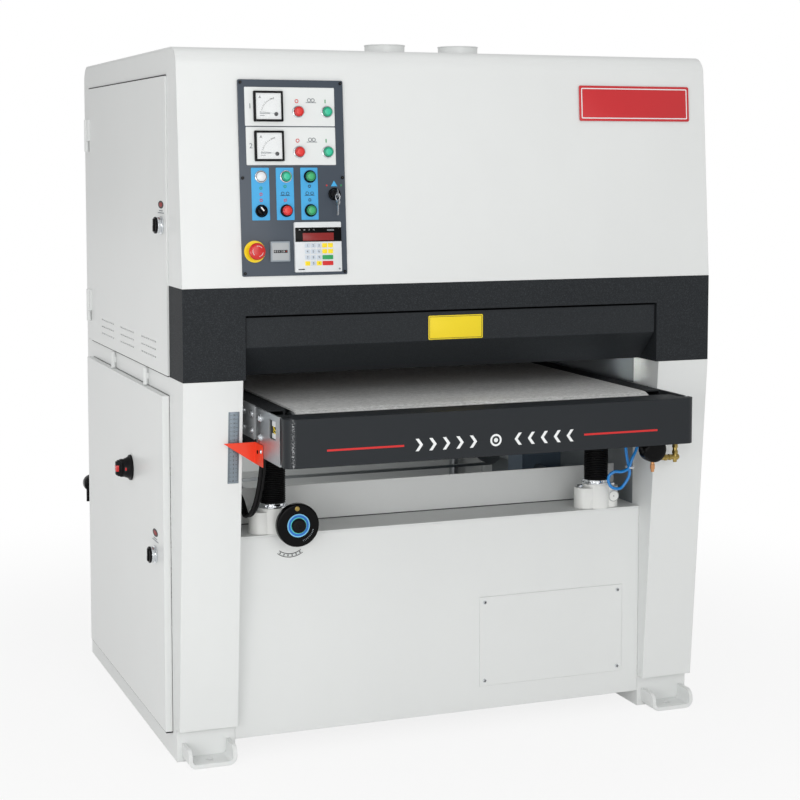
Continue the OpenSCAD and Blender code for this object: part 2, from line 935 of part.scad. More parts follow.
// Ring round a button, cleared for its cap
module bezel(share) {
    on_panel(share, fit_out)
        difference() {
            cylinder(d = bezel_d, h = bezel_t);
            translate([0, 0, -overrun])
                cylinder(d = button_d + 2 * seam, h = bezel_t + 2 * overrun);
        }
}

module control_panel() {
    color([0.35, 0.40, 0.44]) {
        difference() {
            on_hood(panel_x, panel_low, seam)
                cube([panel_w, panel_h, panel_t]);
            for (share = meter_shares)
                on_panel(share, 0)
                    cylinder(d = meter_size / 2, h = panel_t + overrun);
        }
        for (share = concat(head_stop_shares, head_start_shares,
            [feed_start_share, feed_stop_share, table_up_share, table_down_share]))
            bezel(share);
        on_panel(lamp_share, fit_out)
            cylinder(d = bezel_d, h = bezel_t + button_lift);
        on_panel(stop_share, fit_out)
            difference() {
                cylinder(d = collar_d, h = collar_t);
                translate([0, 0, -overrun])
                    cylinder(d = mushroom_stem_d + 2 * seam, h = collar_t + 2 * overrun);
            }
        on_panel(key_share, fit_out)
            difference() {
                cylinder(d = bezel_d, h = bezel_t);
                translate([0, 0, -overrun])
                    cylinder(d = key_barrel_d + 2 * run_fit, h = bezel_t + 2 * overrun);
            }
        on_panel(selector_share, fit_out)
            difference() {
                cylinder(d = bezel_d, h = bezel_t);
                translate([0, 0, -overrun])
                    cylinder(d = knob_d + 2 * run_fit, h = bezel_t + 2 * overrun);
            }
    }
}

module panel_box(share, w, h, depth) {
    on_panel(share, fit_out)
        translate([-w / 2, -h / 2, 0])
            cube([w, h, depth]);
}

module panel_instruments() {
    color([0.12, 0.13, 0.14]) {
        for (share = meter_shares)
            panel_box(share, meter_size, meter_size, meter_depth);
        panel_box(hour_share, hour_size, hour_size, hour_depth);
        panel_box(controller_share, controller_w, controller_h, controller_depth);
    }
}

// Jack housing; the worm shaft bore is closed at the outer end unless it is open
module jack(x, open) {
    outer = -jack_y - jack_d / 2;
    start = open ? outer - cap_t - overrun : outer + blind_t;
    straight = jack_w / 2 - jack_d / 2;
    foot = ledge_z + seam;
    difference() {
        union() {
            box([x - straight, outer, foot], [x + straight, outer + jack_d, jack_top]);
            for (end = [x - straight, x + straight])
                rod_z(end, -jack_y, foot, jack_d, jack_top - foot);
            rod_z(x, -jack_y, foot, boss_ring_d, ring_top - foot);
            rod_y(x + lift_x, outer - cap_t, lift_z, cap_d, jack_d + 2 * cap_t);
        }
        rod_z(x, -jack_y, ledge_z, screw_d + 2 * run_fit, jack_h + pad_h + boss_ring_h + overrun);
        rod_y(x + lift_x, start, lift_z, lift_shaft_d + 2 * run_fit,
            outer + jack_d + cap_t + overrun - start);
    }
}

module jack_housings() {
    color([0.88, 0.89, 0.88]) {
        jack(-jack_x, true);
        jack(jack_x, false);
        mirror([0, 1, 0]) {
            jack(-jack_x, false);
            jack(jack_x, false);
        }
    }
}

module abrasive_belts() {
    inner_low = drum_d / 2 + seam;
    inner_high = tension_d / 2 + seam;
    color([0.47, 0.27, 0.18])
        for (y = head_ys)
            translate([-abrasive_w / 2, y, drum_z])
                rotate([90, 0, 90])
                    linear_extrude(abrasive_w)
                        difference() {
                            polygon(belt_line(inner_low + abrasive_t, inner_high + abrasive_t, head_rise));
                            polygon(belt_line(inner_low, inner_high, head_rise));
                        }
}

module spindle_motor(y) {
    right = inner_x - motor_gap;
    foot_z = deck_z + deck_t + seam;
    difference() {
        union() {
            rod_x(right - motor_l, y, motor_axis_z, motor_d, motor_l);
            box([right - motor_l * 3 / 4, y - motor_foot_w / 2, foot_z],
                [right - motor_l / 4, y + motor_foot_w / 2, motor_axis_z]);
            box([right - motor_l * 2 / 3, y - motor_foot_w / 3, motor_axis_z],
                [right - motor_l / 3, y + motor_foot_w / 3, motor_axis_z + motor_d / 2 + terminal_h]);
        }
        rod_x(right - motor_l / 4, y, motor_axis_z, motor_shaft_d + 2 * run_fit, motor_l);
    }
}

module motors() {
    gear_x = jack_x + lift_x;
    color([0.25, 0.31, 0.38]) {
        for (y = head_ys)
            spindle_motor(y);
        difference() {
            union() {
                box([gear_x - lift_gear / 2, -lift_gear / 2, lift_z - lift_gear / 2],
                    [inner_x - seam, lift_gear / 2, lift_z + lift_gear / 2]);
                rod_z(gear_x, 0, lift_z - lift_gear / 2 - lift_motor_l, lift_motor_d,
                    lift_motor_l + overrun);
            }
            rod_y(gear_x, -lift_gear, lift_z, lift_shaft_d + 2 * run_fit, 2 * lift_gear);
        }
    }
}

module drive_belts() {
    inner_low = motor_pulley_d / 2 + seam;
    inner_high = drum_pulley_d / 2 + seam;
    rise = drum_z - motor_axis_z;
    color([0.08, 0.08, 0.09])
        for (y = head_ys)
            translate([pulley_x + seam, y, motor_axis_z])
                rotate([90, 0, 90])
                    linear_extrude(pulley_w - 2 * seam)
                        difference() {
                            polygon(belt_line(inner_low + drive_belt_t, inner_high + drive_belt_t, rise));
                            polygon(belt_line(inner_low, inner_high, rise));
                        }
}

// Filter with its bowl, on the rear left post
module air_filter() {
    x = -side_x + filter_x;
    y = rear_y + seam;
    middle = y + filter_head / 2;
    z = filter_z + filter_head / 2;
    dial_x = x - filter_head / 2 - dial_d / 2;
    color([0.09, 0.09, 0.10])
        difference() {
            union() {
                box([x - filter_head / 2, y, filter_z],
                    [x + filter_head / 2, y + filter_head, filter_z + filter_head]);
                rod_z(x, middle, filter_z - filter_h, filter_d, filter_h + overrun);
                rod_z(x, middle, filter_z + filter_head - overrun, filter_d, filter_head / 2);
                rod_x(dial_x, middle, z, drain_d, dial_d / 2 + overrun);
                rod_y(dial_x, middle - dial_t / 2, z, dial_d, dial_t);
                rod_z(dial_x - dial_d / 4, middle, z - dial_d / 2 - drain_l, drain_d, drain_l + dial_d / 4);
            }
            rod_y(x, y + filter_head - inlet_l, z, inlet_d, inlet_l + overrun);
        }
}

module air_regulator() {
    x = rail_out + reg_x;
    y = band_y - reg_y;
    z = rail_bottom - reg_drop;
    arm_z = z - reg_d / 3;
    color([0.09, 0.09, 0.10]) {
        rod_y(x, y, z, reg_d, reg_l);
        rod_z(rail_out - reg_stem_d, y + reg_l / 2, z, reg_stem_d, reg_drop - seam);
        rod_x(x + reg_d / 4, y + reg_l / 3, arm_z, reg_arm_d, reg_d / 4 + reg_arm);
        rod_z(x + reg_d / 2 + reg_arm - reg_arm_d, y + reg_l / 3, arm_z, reg_arm_d, reg_arm);
        rod_z(x, y + reg_l / 2, z - reg_d / 2 - plug_l, plug_d, plug_l + pass_gap);
    }
}

module air_tube() {
    color([0.06, 0.48, 0.86])
        sweep(moved(air_way, [rail_out, band_y, rail_bottom]), air_d);
}

module fasteners() {
    color([0.75, 0.76, 0.77]) {
        for (share = screw_shares)
            on_panel(share, face_out)
                cylinder(d = panel_screw_d, h = panel_screw_t);
        for (x = [access_x - access_w / 2 + bolt_head_d, access_x + access_w / 2 - bolt_head_d],
            z = [access_z - access_h / 2 + bolt_head_d, access_z + access_h / 2 - bolt_head_d])
            rod_y(x, front_y - 2 * seam - access_t - panel_screw_t, z, panel_screw_d, panel_screw_t);
        for (x = [-jack_x, jack_x], off = [-jack_w / 2 + bolt_head_d, jack_w / 2 - bolt_head_d],
            side = [-1, 1])
            rod_z(x + off, side * jack_y, jack_top + seam, bolt_head_d, bolt_head_h);
        for (z = concat(hinge_heights(upper_low, upper_tall), hinge_heights(lower_low, lower_tall)))
            hinge_leaf(z);
        for (y = head_ys)
            translate([-side_x - peg_out, y - peg_ahead, sill_z + overrun]) {
                cylinder(d = peg_d, h = sill_h - 2 * overrun);
                translate([0, -peg_d / 2, sill_h / 3])
                    cube([peg_out - seam, peg_d, sill_h / 3]);
            }
    }
}

module electrics() {
    x = -inner_x - wall_t - seam;
    span = door_rear_y - door_front_y - 2 * plate_margin;
    low = plinth_z + plate_margin;
    tall = sill_z - plinth_z - 2 * plate_margin;
    color([0.62, 0.63, 0.62]) {
        box([x - plate_t, door_front_y + plate_margin, low], [x, door_rear_y - plate_margin, low + tall]);
        for (row = block_rows, share = block_shares)
            translate([x - plate_t - seam - contactor_t,
                door_front_y + plate_margin + share * span - contactor_w / 2,
                low + row * tall - contactor_tall / 2])
                cube([contactor_t, contactor_w, contactor_tall]);
    }
}

module lift_chain() {
    inner = sprocket_d / 2 + seam;
    color([0.32, 0.32, 0.33])
        translate([-jack_x + lift_x, chain_y + sprocket_t - seam, lift_z])
            rotate([90, 90, 0])
                linear_extrude(sprocket_t - 2 * seam)
                    difference() {
                        polygon(belt_line(inner + chain_t, inner + chain_t, 2 * jack_x));
                        polygon(belt_line(inner, inner, 2 * jack_x));
                    }
}

// Bearing block of a feed roller with the stop bar's guide pin, front right
module bearing_block(pin) {
    difference() {
        union() {
            box([rail_in, -block_end, roller_z - block_h / 2],
                [rail_out, -rail_end - seam, roller_z + block_h / 2]);
            if (pin)
                rod_y(guide_x, -block_end - guide_l, roller_z, guide_d, guide_l + overrun);
        }
        rod_x(rail_in - overrun, -roller_y, roller_z, journal_d + 2 * run_fit, rail_t + 2 * overrun);
    }
}

module table_bed() {
    color([0.17, 0.18, 0.19]) {
        box([-rail_in + seam, -bed_end, bed_top - bed_t], [rail_in - seam, bed_end, bed_top]);
        for (y = [-bed_end + bed_tube_w, -bed_tube_w / 2, bed_end - 2 * bed_tube_w])
            box([-rail_in + seam, y, bed_top - bed_t - seam - bed_tube_h],
                [rail_in - seam, y + bed_tube_w, bed_top - bed_t - seam]);
        difference() {
            both_sides([rail_in, -rail_end, rail_bottom], [rail_out, rail_end, rail_top]);
            both_sides([rail_in + tube_wall, -rail_end - overrun, rail_bottom + tube_wall],
                [rail_out - tube_wall, rail_end + overrun, rail_top - tube_wall]);
        }
        for (y = [-jack_y, jack_y])
            box([-rail_out, y - cross_d / 2, cross_bottom], [rail_out, y + cross_d / 2, cross_top]);
        for (side = [0, 1])
            mirror([side, 0, 0]) {
                bearing_block(true);
                mirror([0, 1, 0])
                    bearing_block(false);
                box([rail_out + seam, band_y + pass_gap, rail_top - gusset_drop],
                    [rail_out + seam + gusset_t, band_y + pass_gap + gusset_l, rail_top]);
                for (y = bolt_y_shares, z = bolt_z_shares)
                    rod_x(rail_out + gusset_t, band_y + pass_gap + y * gusset_l, rail_top - z * gusset_drop,
                        bolt_head_d, bolt_head_h);
            }
    }
}

module feed_belt() {
    inner = roller_d / 2 + seam;
    color([0.42, 0.42, 0.42])
        translate([-belt_w / 2, -roller_y, roller_z])
            rotate([90, 0, 90])
                linear_extrude(belt_w)
                    difference() {
                        polygon(laid(belt_line(inner + belt_t, inner + belt_t, roller_pitch)));
                        polygon(laid(belt_line(inner, inner, roller_pitch)));
                    }
}

module lift_screws() {
    color([0.60, 0.61, 0.62])
        for (x = [-jack_x, jack_x], y = [-jack_y, jack_y]) {
            rod_z(x, y, screw_low, screw_d, cross_bottom - seam - screw_low);
            rod_z(x, y, cross_bottom - seam - screw_flange_t, screw_flange_d, screw_flange_t);
        }
}

module bellows() {
    fold = (bellows_high - bellows_low) / bellows_folds;
    out = bellows_d / 2;
    outer = [for (i = [0:2 * bellows_folds]) [out - (i % 2 == 0 ? bellows_depth : 0),
        bellows_low + i * fold / 2]];
    inner = [for (i = [0:2 * bellows_folds]) outer[2 * bellows_folds - i] - [bellows_wall, 0]];
    color([0.06, 0.06, 0.06])
        for (x = [-jack_x, jack_x], y = [-jack_y, jack_y])
            translate([x, y, 0])
                rotate_extrude()
                    polygon(concat(outer, inner));
}

module height_pointer() {
    root_x = -bar_x - seam - pointer_t;
    top = rail_top - pointer_drop;
    y = band_y - pointer_ahead - pointer_t;
    color([0.95, 0.24, 0.09]) {
        front_prism([[root_x - pointer_reach, top], [root_x, top],
            [root_x, top - pointer_root]], y, pointer_t);
        box([root_x, y - pointer_flange, top - pointer_root], [root_x + pointer_t, y + pointer_t, top]);
    }
}

module feed_motor() {
    low = rail_out + seam;
    half = gear_size / 2;
    color([0.27, 0.33, 0.40])
        difference() {
            union() {
                box([low, roller_y - half, roller_z - half],
                    [low + gear_size * gear_shares[0], roller_y + half,
                        roller_z + gear_size * gear_shares[1]]);
                rod_z(low + half, roller_y, roller_z - half - feed_motor_l, feed_motor_d,
                    feed_motor_l + overrun);
            }
            rod_x(low - overrun, roller_y, roller_z, journal_d + 2 * run_fit, half + overrun);
        }
}

module table_cables() {
    color([0.05, 0.05, 0.05])
        sweep(moved(cable_way, [-inner_x, band_y, rail_bottom]), cable_d);
}

module bar_brackets() {
    low = rail_top - bracket_drop;
    slot_y = bracket_front + bracket_l / 6;
    slot_z = rail_top - bracket_drop / 8;
    color([0.66, 0.67, 0.68])
        for (side = [0, 1])
            mirror([side, 0, 0]) {
                difference() {
                    box([-bar_x, bracket_front, low],
                        [-bar_x + bracket_t, bracket_front + bracket_l, rail_top]);
                    if (side == 0)
                        box([-bar_x - overrun, slot_y, slot_z - window_h],
                            [-bar_x + bracket_t + overrun, slot_y + window_w, slot_z]);
                }
                for (z = [rail_top - bracket_drop / 5, rail_top - bracket_drop * 3 / 5])
                    rod_x(-bar_x - bolt_head_h, bracket_front + bracket_l * 5 / 6, z, bolt_head_d,
                        bolt_head_h);
            }
}

// Plan outline of the stop bar, with round front corners
function bar_plan(w, y, d, r) =
    concat(arc([-w + r, y + r], r, 180, 270, arc_steps), arc([w - r, y + r], r, 270, 360, arc_steps),
        [[w, y + d], [-w, y + d]]);

module stop_bar() {
    low = bar_top - bar_h;
    color([0.19, 0.21, 0.22]) {
        difference() {
            union() {
                translate([0, 0, low])
                    linear_extrude(bar_h)
                        polygon(bar_plan(bar_x, bar_y, bar_end_d, bar_r));
                box([-rail_out + bar_r, bar_y + bar_r, bar_top - bar_t],
                    [rail_out - bar_r, bar_y + bar_flange, bar_top]);
                box([-rail_out + bar_r, bar_y + bar_r, low],
                    [rail_out - bar_r, bar_y + bar_flange / 2, low + bar_t]);
            }
            translate([0, 0, low + bar_t])
                linear_extrude(bar_h - 2 * bar_t)
                    polygon(bar_plan(bar_x - bar_t, bar_y + bar_t, bar_end_d + overrun, bar_r - bar_t));
        }
        for (x = [-guide_x, guide_x])
            difference() {
                rod_y(x, bar_y + bar_t - overrun, roller_z, guide_d + 2 * guide_wall,
                    bar_end_d + sleeve_reach);
                rod_y(x, bar_y + bar_t + overrun, roller_z, guide_d + 2 * run_fit,
                    bar_end_d + sleeve_reach);
            }
    }
}

module feed_roller(y, right) {
    color([0.55, 0.56, 0.57]) {
        rod_x(-rail_in + 2 * pass_gap, y, roller_z, roller_d, 2 * rail_in - 4 * pass_gap);
        rod_x(-rail_out, y, roller_z, journal_d, rail_out + right);
    }
}

module drive_roller() {
    feed_roller(roller_y, rail_out + cross_d / 2);
}

module tail_roller() {
    feed_roller(-roller_y, rail_out);
}

module lift_shaft(x, from_y) {
    end_y = jack_y + jack_d / 2 - blind_t - pass_gap;
    color([0.58, 0.59, 0.60]) {
        rod_y(x, from_y, lift_z, lift_shaft_d, end_y - from_y);
        rod_y(x, chain_y, lift_z, sprocket_d, sprocket_t);
    }
}

module left_lift_shaft() {
    lift_shaft(-jack_x + lift_x, wheel_y + wheel_t / 2);
}

module right_lift_shaft() {
    lift_shaft(jack_x + lift_x, -jack_y - jack_d / 2 + blind_t + pass_gap);
}

module handwheel() {
    x = -jack_x + lift_x;
    color([0.09, 0.10, 0.11])
        difference() {
            union() {
                rod_y(x, wheel_y, lift_z, wheel_d, wheel_t);
                rod_y(x, wheel_y - wheel_hub_h, lift_z, wheel_hub_d, wheel_hub_h + overrun);
            }
            rod_y(x, wheel_y + wheel_t / 2 - seam, lift_z, lift_shaft_d + 2 * run_fit, wheel_t);
        }
}

module drum(y) {
    color([0.16, 0.16, 0.17]) {
        rod_x(-drum_end, y, drum_z, drum_d, drum_l);
        rod_x(end_block_x + pass_gap, y, drum_z, head_shaft_d, drum_shaft_end - end_block_x - pass_gap);
        rod_x(pulley_x, y, drum_z, drum_pulley_d, pulley_w);
    }
}

module front_drum() {
    drum(head_ys[0]);
}

module rear_drum() {
    drum(head_ys[1]);
}

module tension_roller(y) {
    color([0.58, 0.59, 0.60]) {
        rod_x(-drum_end, y, tension_z, tension_d, drum_l);
        rod_x(-arm_in - yoke_arm_t, y, tension_z, head_shaft_d, 2 * (arm_in + yoke_arm_t));
    }
}

module front_tension_roller() {
    tension_roller(head_ys[0]);
}

module rear_tension_roller() {
    tension_roller(head_ys[1]);
}

module yoke(y) {
    top = tension_z + yoke_arm_d / 2;
    reach = arm_in + yoke_arm_t;
    color([0.33, 0.36, 0.39]) {
        box([-arm_in - overrun, y - yoke_d / 2, yoke_z],
            [arm_in + overrun, y + yoke_d / 2, yoke_z + yoke_h]);
        for (x = [-reach, arm_in])
            difference() {
                box([x, y - yoke_arm_d / 2, yoke_z], [x + yoke_arm_t, y + yoke_arm_d / 2, top]);
                rod_x(x - overrun, y, tension_z, head_shaft_d + 2 * run_fit, yoke_arm_t + 2 * overrun);
            }
        rod_z(0, y, beam_z + beam_h + barrel_h / 2, rod_d,
            yoke_z - beam_z - beam_h - barrel_h / 2 + overrun);
    }
}

module front_yoke() {
    yoke(head_ys[0]);
}

module rear_yoke() {
    yoke(head_ys[1]);
}

module motor_pulley(y) {
    color([0.40, 0.41, 0.42]) {
        rod_x(pulley_x, y, motor_axis_z, motor_pulley_d, pulley_w);
        rod_x(inner_x - motor_gap - motor_l / 5, y, motor_axis_z, motor_shaft_d,
            pulley_x + pulley_w - inner_x + motor_gap + motor_l / 5);
    }
}

module front_motor_pulley() {
    motor_pulley(head_ys[0]);
}

module rear_motor_pulley() {
    motor_pulley(head_ys[1]);
}

// Heights of the two hinges of a door
function hinge_heights(low, tall) = [low + hinge_share * tall, low + (1 - hinge_share) * tall - hinge_l];

// Door half of a hinge, bored for the pin
module door_knuckle(z) {
    difference() {
        union() {
            rod_z(hinge_x, hinge_y, z, hinge_d, hinge_l);
            box([hinge_x - sheet / 2, door_rear_y - overlap, z], [-side_x - seam, hinge_y, z + hinge_l]);
        }
        rod_z(hinge_x, hinge_y, z - overrun, pin_d + 2 * run_fit, hinge_l + 2 * overrun);
    }
}

// Frame half of a hinge, with the pin
module hinge_leaf(z) {
    low = z - seam - hinge_l / 2;
    rod_z(hinge_x, hinge_y, low, hinge_d, hinge_l / 2);
    rod_z(hinge_x, hinge_y, low, pin_d, hinge_l * 3 / 2);
    box([hinge_x - sheet / 2, hinge_y, low], [-side_x - seam, hinge_y + 2 * overlap, low + hinge_l / 2]);
}

module upper_door() {
    low = upper_low;
    tall = upper_tall;
    color([0.88, 0.89, 0.89]) {
        for (z = hinge_heights(low, tall))
            door_knuckle(z);
        difference() {
            box([-side_x - sheet, door_front_y + door_gap, low],
                [-side_x + upper_door_t, door_rear_y - door_gap, low + tall]);
            box([-side_x, door_front_y + door_gap + sheet, low + sheet],
                [-side_x + upper_door_t + overrun, door_rear_y - door_gap - sheet, low + tall - sheet]);
            louvres(-side_x - sheet - overrun);
        }
    }
}

module lower_door() {
    low = lower_low;
    high = lower_low + lower_tall;
    color([0.88, 0.89, 0.89]) {
        for (z = hinge_heights(low, lower_tall))
            door_knuckle(z);
        difference() {
            box([-side_x - lower_door_t, door_front_y + pass_gap, low],
                [-side_x - seam, door_rear_y - door_gap, high]);
            box([-side_x - lower_door_t + sheet, door_front_y + pass_gap + sheet, low + sheet],
                [-side_x + overrun, door_rear_y - door_gap - sheet, high - sheet]);
        }
    }
}

// Round lock with a grip bar, on a door face
module lock(face, y, z) {
    color([0.78, 0.79, 0.80])
        translate([-side_x - face - seam, band_y + y, z])
            rotate([0, -90, 0]) {
                cylinder(d = lock_d, h = lock_base_t);
                cylinder(d = lock_knob_d, h = lock_base_t + lock_knob_t / 2);
                translate([-lock_knob_d / 2, -lock_grip_w / 2, lock_base_t])
                    cube([lock_knob_d, lock_grip_w, lock_knob_t]);
            }
}

module upper_lock() {
    lock(sheet, upper_lock_y, upper_lock_z);
}

module lower_lock() {
    lock(lower_door_t, lower_lock_y, lower_lock_z);
}

module main_switch() {
    color([0.10, 0.10, 0.11])
        translate([-side_x - lower_door_t - seam, band_y + switch_y, switch_z])
            rotate([0, -90, 0]) {
                cylinder(d = switch_base, h = switch_base_t);
                cylinder(d = switch_d, h = switch_base_t + switch_t);
                translate([-switch_d / 2, -switch_grip_w / 2, switch_base_t])
                    cube([switch_d, switch_grip_w, switch_t + switch_grip_t]);
            }
}

module mushroom() {
    color([0.80, 0.09, 0.07])
        on_panel(stop_share, face_out + button_travel) {
            cylinder(d = mushroom_stem_d, h = mushroom_lift + overrun);
            translate([0, 0, mushroom_lift])
                cylinder(d = mushroom_d, h = mushroom_t);
        }
}

module selector() {
    color([0.10, 0.10, 0.11])
        on_panel(selector_share, face_out) {
            cylinder(d = knob_d, h = bezel_t + pass_gap);
            translate([-knob_d / 6, -knob_d / 2, bezel_t])
                cube([knob_d / 3, knob_d, knob_t]);
        }
}

module panel_key() {
    color([0.72, 0.73, 0.74])
        on_panel(key_share, face_out) {
            cylinder(d = key_barrel_d, h = key_barrel_t);
            translate([-key_blade_t / 2, -key_slot_l / 2, key_barrel_t - overrun])
                cube([key_blade_t, key_slot_l, key_bow_l / 2]);
            translate([-key_blade_t / 2, -key_bow_w / 2, key_barrel_t + key_bow_l / 3])
                cube([key_blade_t, key_bow_w, key_bow_l / 2]);
        }
}

// Push button cap with a small edge inside its bezel
module button(share, tint) {
    color(tint)
        on_panel(share, face_out + button_travel)
            cylinder(d = button_d, h = bezel_t + button_lift - button_travel);
}

module head_one_stop() {
    button(head_stop_shares[0], [0.80, 0.10, 0.09]);
}

module head_one_start() {
    button(head_start_shares[0], [0.10, 0.62, 0.26]);
}

module head_two_stop() {
    button(head_stop_shares[1], [0.80, 0.10, 0.09]);
}

module head_two_start() {
    button(head_start_shares[1], [0.10, 0.62, 0.26]);
}

module feed_start() {
    button(feed_start_share, [0.10, 0.62, 0.26]);
}

module feed_stop() {
    button(feed_stop_share, [0.80, 0.10, 0.09]);
}

module table_up() {
    button(table_up_share, [0.10, 0.62, 0.26]);
}

module table_down() {
    button(table_down_share, [0.10, 0.62, 0.26]);
}

base_frame();
base_panels();
post_covers();
foot_lugs();
head_frame();
hood();
dust_ports();
front_band();
infeed_guard();
drive_cover();
control_panel();
panel_instruments();
jack_housings();
abrasive_belts();
motors();
drive_belts();
air_filter();
air_regulator();
air_tube();
fasteners();
electrics();
lift_chain();
table_bed();
feed_belt();
lift_screws();
bellows();
height_pointer();
feed_motor();
table_cables();
bar_brackets();
stop_bar();
drive_roller();
tail_roller();
left_lift_shaft();
right_lift_shaft();
handwheel();
front_drum();
rear_drum();
front_tension_roller();
rear_tension_roller();
front_yoke();
rear_yoke();
front_motor_pulley();
rear_motor_pulley();
upper_door();
lower_door();
upper_lock();
lower_lock();
main_switch();
mushroom();
selector();
panel_key();
head_one_stop();
head_one_start();
head_two_stop();
head_two_start();
feed_start();
feed_stop();
table_up();
table_down();
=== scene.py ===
import math

import bmesh
import bpy
from mathutils import Matrix, Vector


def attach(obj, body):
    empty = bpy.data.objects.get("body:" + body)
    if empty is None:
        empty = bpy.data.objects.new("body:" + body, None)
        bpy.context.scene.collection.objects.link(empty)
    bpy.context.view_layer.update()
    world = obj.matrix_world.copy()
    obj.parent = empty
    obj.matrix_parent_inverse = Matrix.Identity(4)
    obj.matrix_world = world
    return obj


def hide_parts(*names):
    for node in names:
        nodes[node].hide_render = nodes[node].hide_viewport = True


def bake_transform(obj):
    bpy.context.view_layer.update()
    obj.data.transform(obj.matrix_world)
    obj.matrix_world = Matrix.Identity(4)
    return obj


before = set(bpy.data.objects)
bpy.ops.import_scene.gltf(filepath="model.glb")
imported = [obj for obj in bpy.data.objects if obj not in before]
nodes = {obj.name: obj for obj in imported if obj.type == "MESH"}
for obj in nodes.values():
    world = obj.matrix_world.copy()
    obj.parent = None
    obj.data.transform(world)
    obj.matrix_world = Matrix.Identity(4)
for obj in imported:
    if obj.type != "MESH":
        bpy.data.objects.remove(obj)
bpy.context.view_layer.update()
print("frame loaded,", len(nodes), "nodes")

# camera, fitted to the corners of the cabinet

camera = {
    "place": (-1.7054, -4.6349, 1.4602),
    "turn": 21.03,  # degrees, left of the machine looking right
    "tilt": 4.72,  # degrees downwards
    "lens": 80.14, "film": 36,  # millimetres
    "shift": -0.12,
    "far": 60,
}
eye = bpy.data.cameras.new("eye")
eye.lens = camera["lens"]
eye.sensor_width = camera["film"]
eye.shift_y = camera["shift"]
eye.clip_end = camera["far"]
eyeStand = bpy.data.objects.new("eyeStand", eye)
bpy.context.collection.objects.link(eyeStand)
eyeStand.location = camera["place"]
eyeStand.rotation_euler = (math.radians(90 - camera["tilt"]), 0, math.radians(-camera["turn"]))
bpy.context.scene.camera = eyeStand


# shader maths as plain expressions

class Wire:
    def __init__(self, finish, socket):
        self.finish = finish
        self.socket = socket

    def maths(self, how, other, flipped=False):
        pair = (other, self) if flipped else (self, other)
        return self.finish.add("Math", {"operation": how}, {0: pair[0], 1: pair[1]})

    def __add__(self, other):
        return self.maths("ADD", other)

    def __radd__(self, other):
        return self.maths("ADD", other, True)

    def __sub__(self, other):
        return self.maths("SUBTRACT", other)

    def __rsub__(self, other):
        return self.maths("SUBTRACT", other, True)

    def __mul__(self, other):
        return self.maths("MULTIPLY", other)

    def __rmul__(self, other):
        return self.maths("MULTIPLY", other, True)

    def __gt__(self, other):
        return self.maths("GREATER_THAN", other)

    def __lt__(self, other):
        return self.maths("LESS_THAN", other)


class Finish:
    def __init__(self, name, owner=None, skin="Principled BSDF"):
        self.material = owner or bpy.data.materials.new(name)
        self.material.use_nodes = True
        self.tree = self.material.node_tree
        self.skin = self.tree.nodes[skin]

    def add(self, kind, settings=None, sockets=None, out=0):
        node = self.tree.nodes.new("ShaderNode" + kind)
        for name, value in (settings or {}).items():
            if name == "stops":
                ramp = node.color_ramp
                for index, (place, level) in enumerate(value):
                    stop = ramp.elements[index] if index < 2 else ramp.elements.new(place)
                    stop.position = place
                    stop.color = (level, level, level, 1)
            else:
                setattr(node, name, value)
        for name, value in (sockets or {}).items():
            self.feed(node.inputs[name], value)
        return Wire(self, node.outputs[out])

    def feed(self, socket, value):
        if isinstance(value, Wire):
            self.tree.links.new(value.socket, socket)
        elif socket.type == "RGBA" and len(value) == 3:
            socket.default_value = (*value, 1)
        else:
            socket.default_value = value

    def set(self, **values):
        for name, value in values.items():
            self.feed(self.skin.inputs[name.replace("_", " ")], value)

    def here(self):
        return self.add("TexCoord", out="Object")

    def axis(self, name):
        return self.add("SeparateXYZ", None, {0: self.here()}, name)

    def noise(self, scale, detail=3, rough=0.55, stretch=None):
        place = self.here()
        if stretch:
            place = self.add("VectorMath", {"operation": "MULTIPLY"}, {0: place, 1: stretch})
        return self.add("TexNoise", None,
                        {"Vector": place, "Scale": scale, "Detail": detail, "Roughness": rough}, "Fac")

    def ramp(self, value, stops):
        return self.add("ValToRGB", {"stops": stops}, {"Fac": value})

    def mix(self, share, first, second):
        return self.add("Mix", {"data_type": "RGBA"}, {0: share, 6: colour(first), 7: colour(second)}, 2)

    def vary(self, share, base, low, high):
        return self.mix(share, shade(base, low), shade(base, high))

    def rays(self, first, *others):
        # 1 for a ray of any of these kinds
        seen = self.add("LightPath", out=first)
        for name in others:
            seen = self.add("Math", {"operation": "MAXIMUM"}, {0: seen, 1: self.add("LightPath", out=name)})
        return seen

    def bump(self, height, depth, edge=0.0):
        sockets = {"Height": height, "Distance": depth, "Strength": 1.0}
        if edge:
            sockets["Normal"] = self.add("Bevel", {"samples": 4}, {"Radius": edge})
        self.set(Normal=self.add("Bump", None, sockets))


def colour(value):
    return value if isinstance(value, Wire) or len(value) == 4 else (*value, 1)


def tone(red, green, blue):
    # screen colour, 0 to 255, to the linear value that a socket takes
    parts = [part / 255 for part in (red, green, blue)]
    return tuple(p / 12.92 if p <= 0.04045 else ((p + 0.055) / 1.055) ** 2.4 for p in parts)


def shade(value, share):
    return tuple(part * share for part in value)


# finishes: one maker for each family, one line for each finish

def makePaint(name, base, rough=0.4, peel=420, depth=0.00012, drift=0.06, coat=0.15, edge=0.0018):
    finish = Finish(name)
    cloud = finish.noise(2.3, detail=4)
    smear = finish.noise(9, detail=5, rough=0.6, stretch=(1, 1, 0.35))
    grain = finish.noise(peel, detail=2)
    finish.set(Base_Color=finish.vary(cloud * 0.7 + smear * 0.3, base, 1 - drift, 1 + drift * 0.4),
               Roughness=rough - 0.06 + smear * 0.12, Coat_Weight=coat, Coat_Roughness=0.18)
    finish.bump(grain, depth, edge)
    return finish


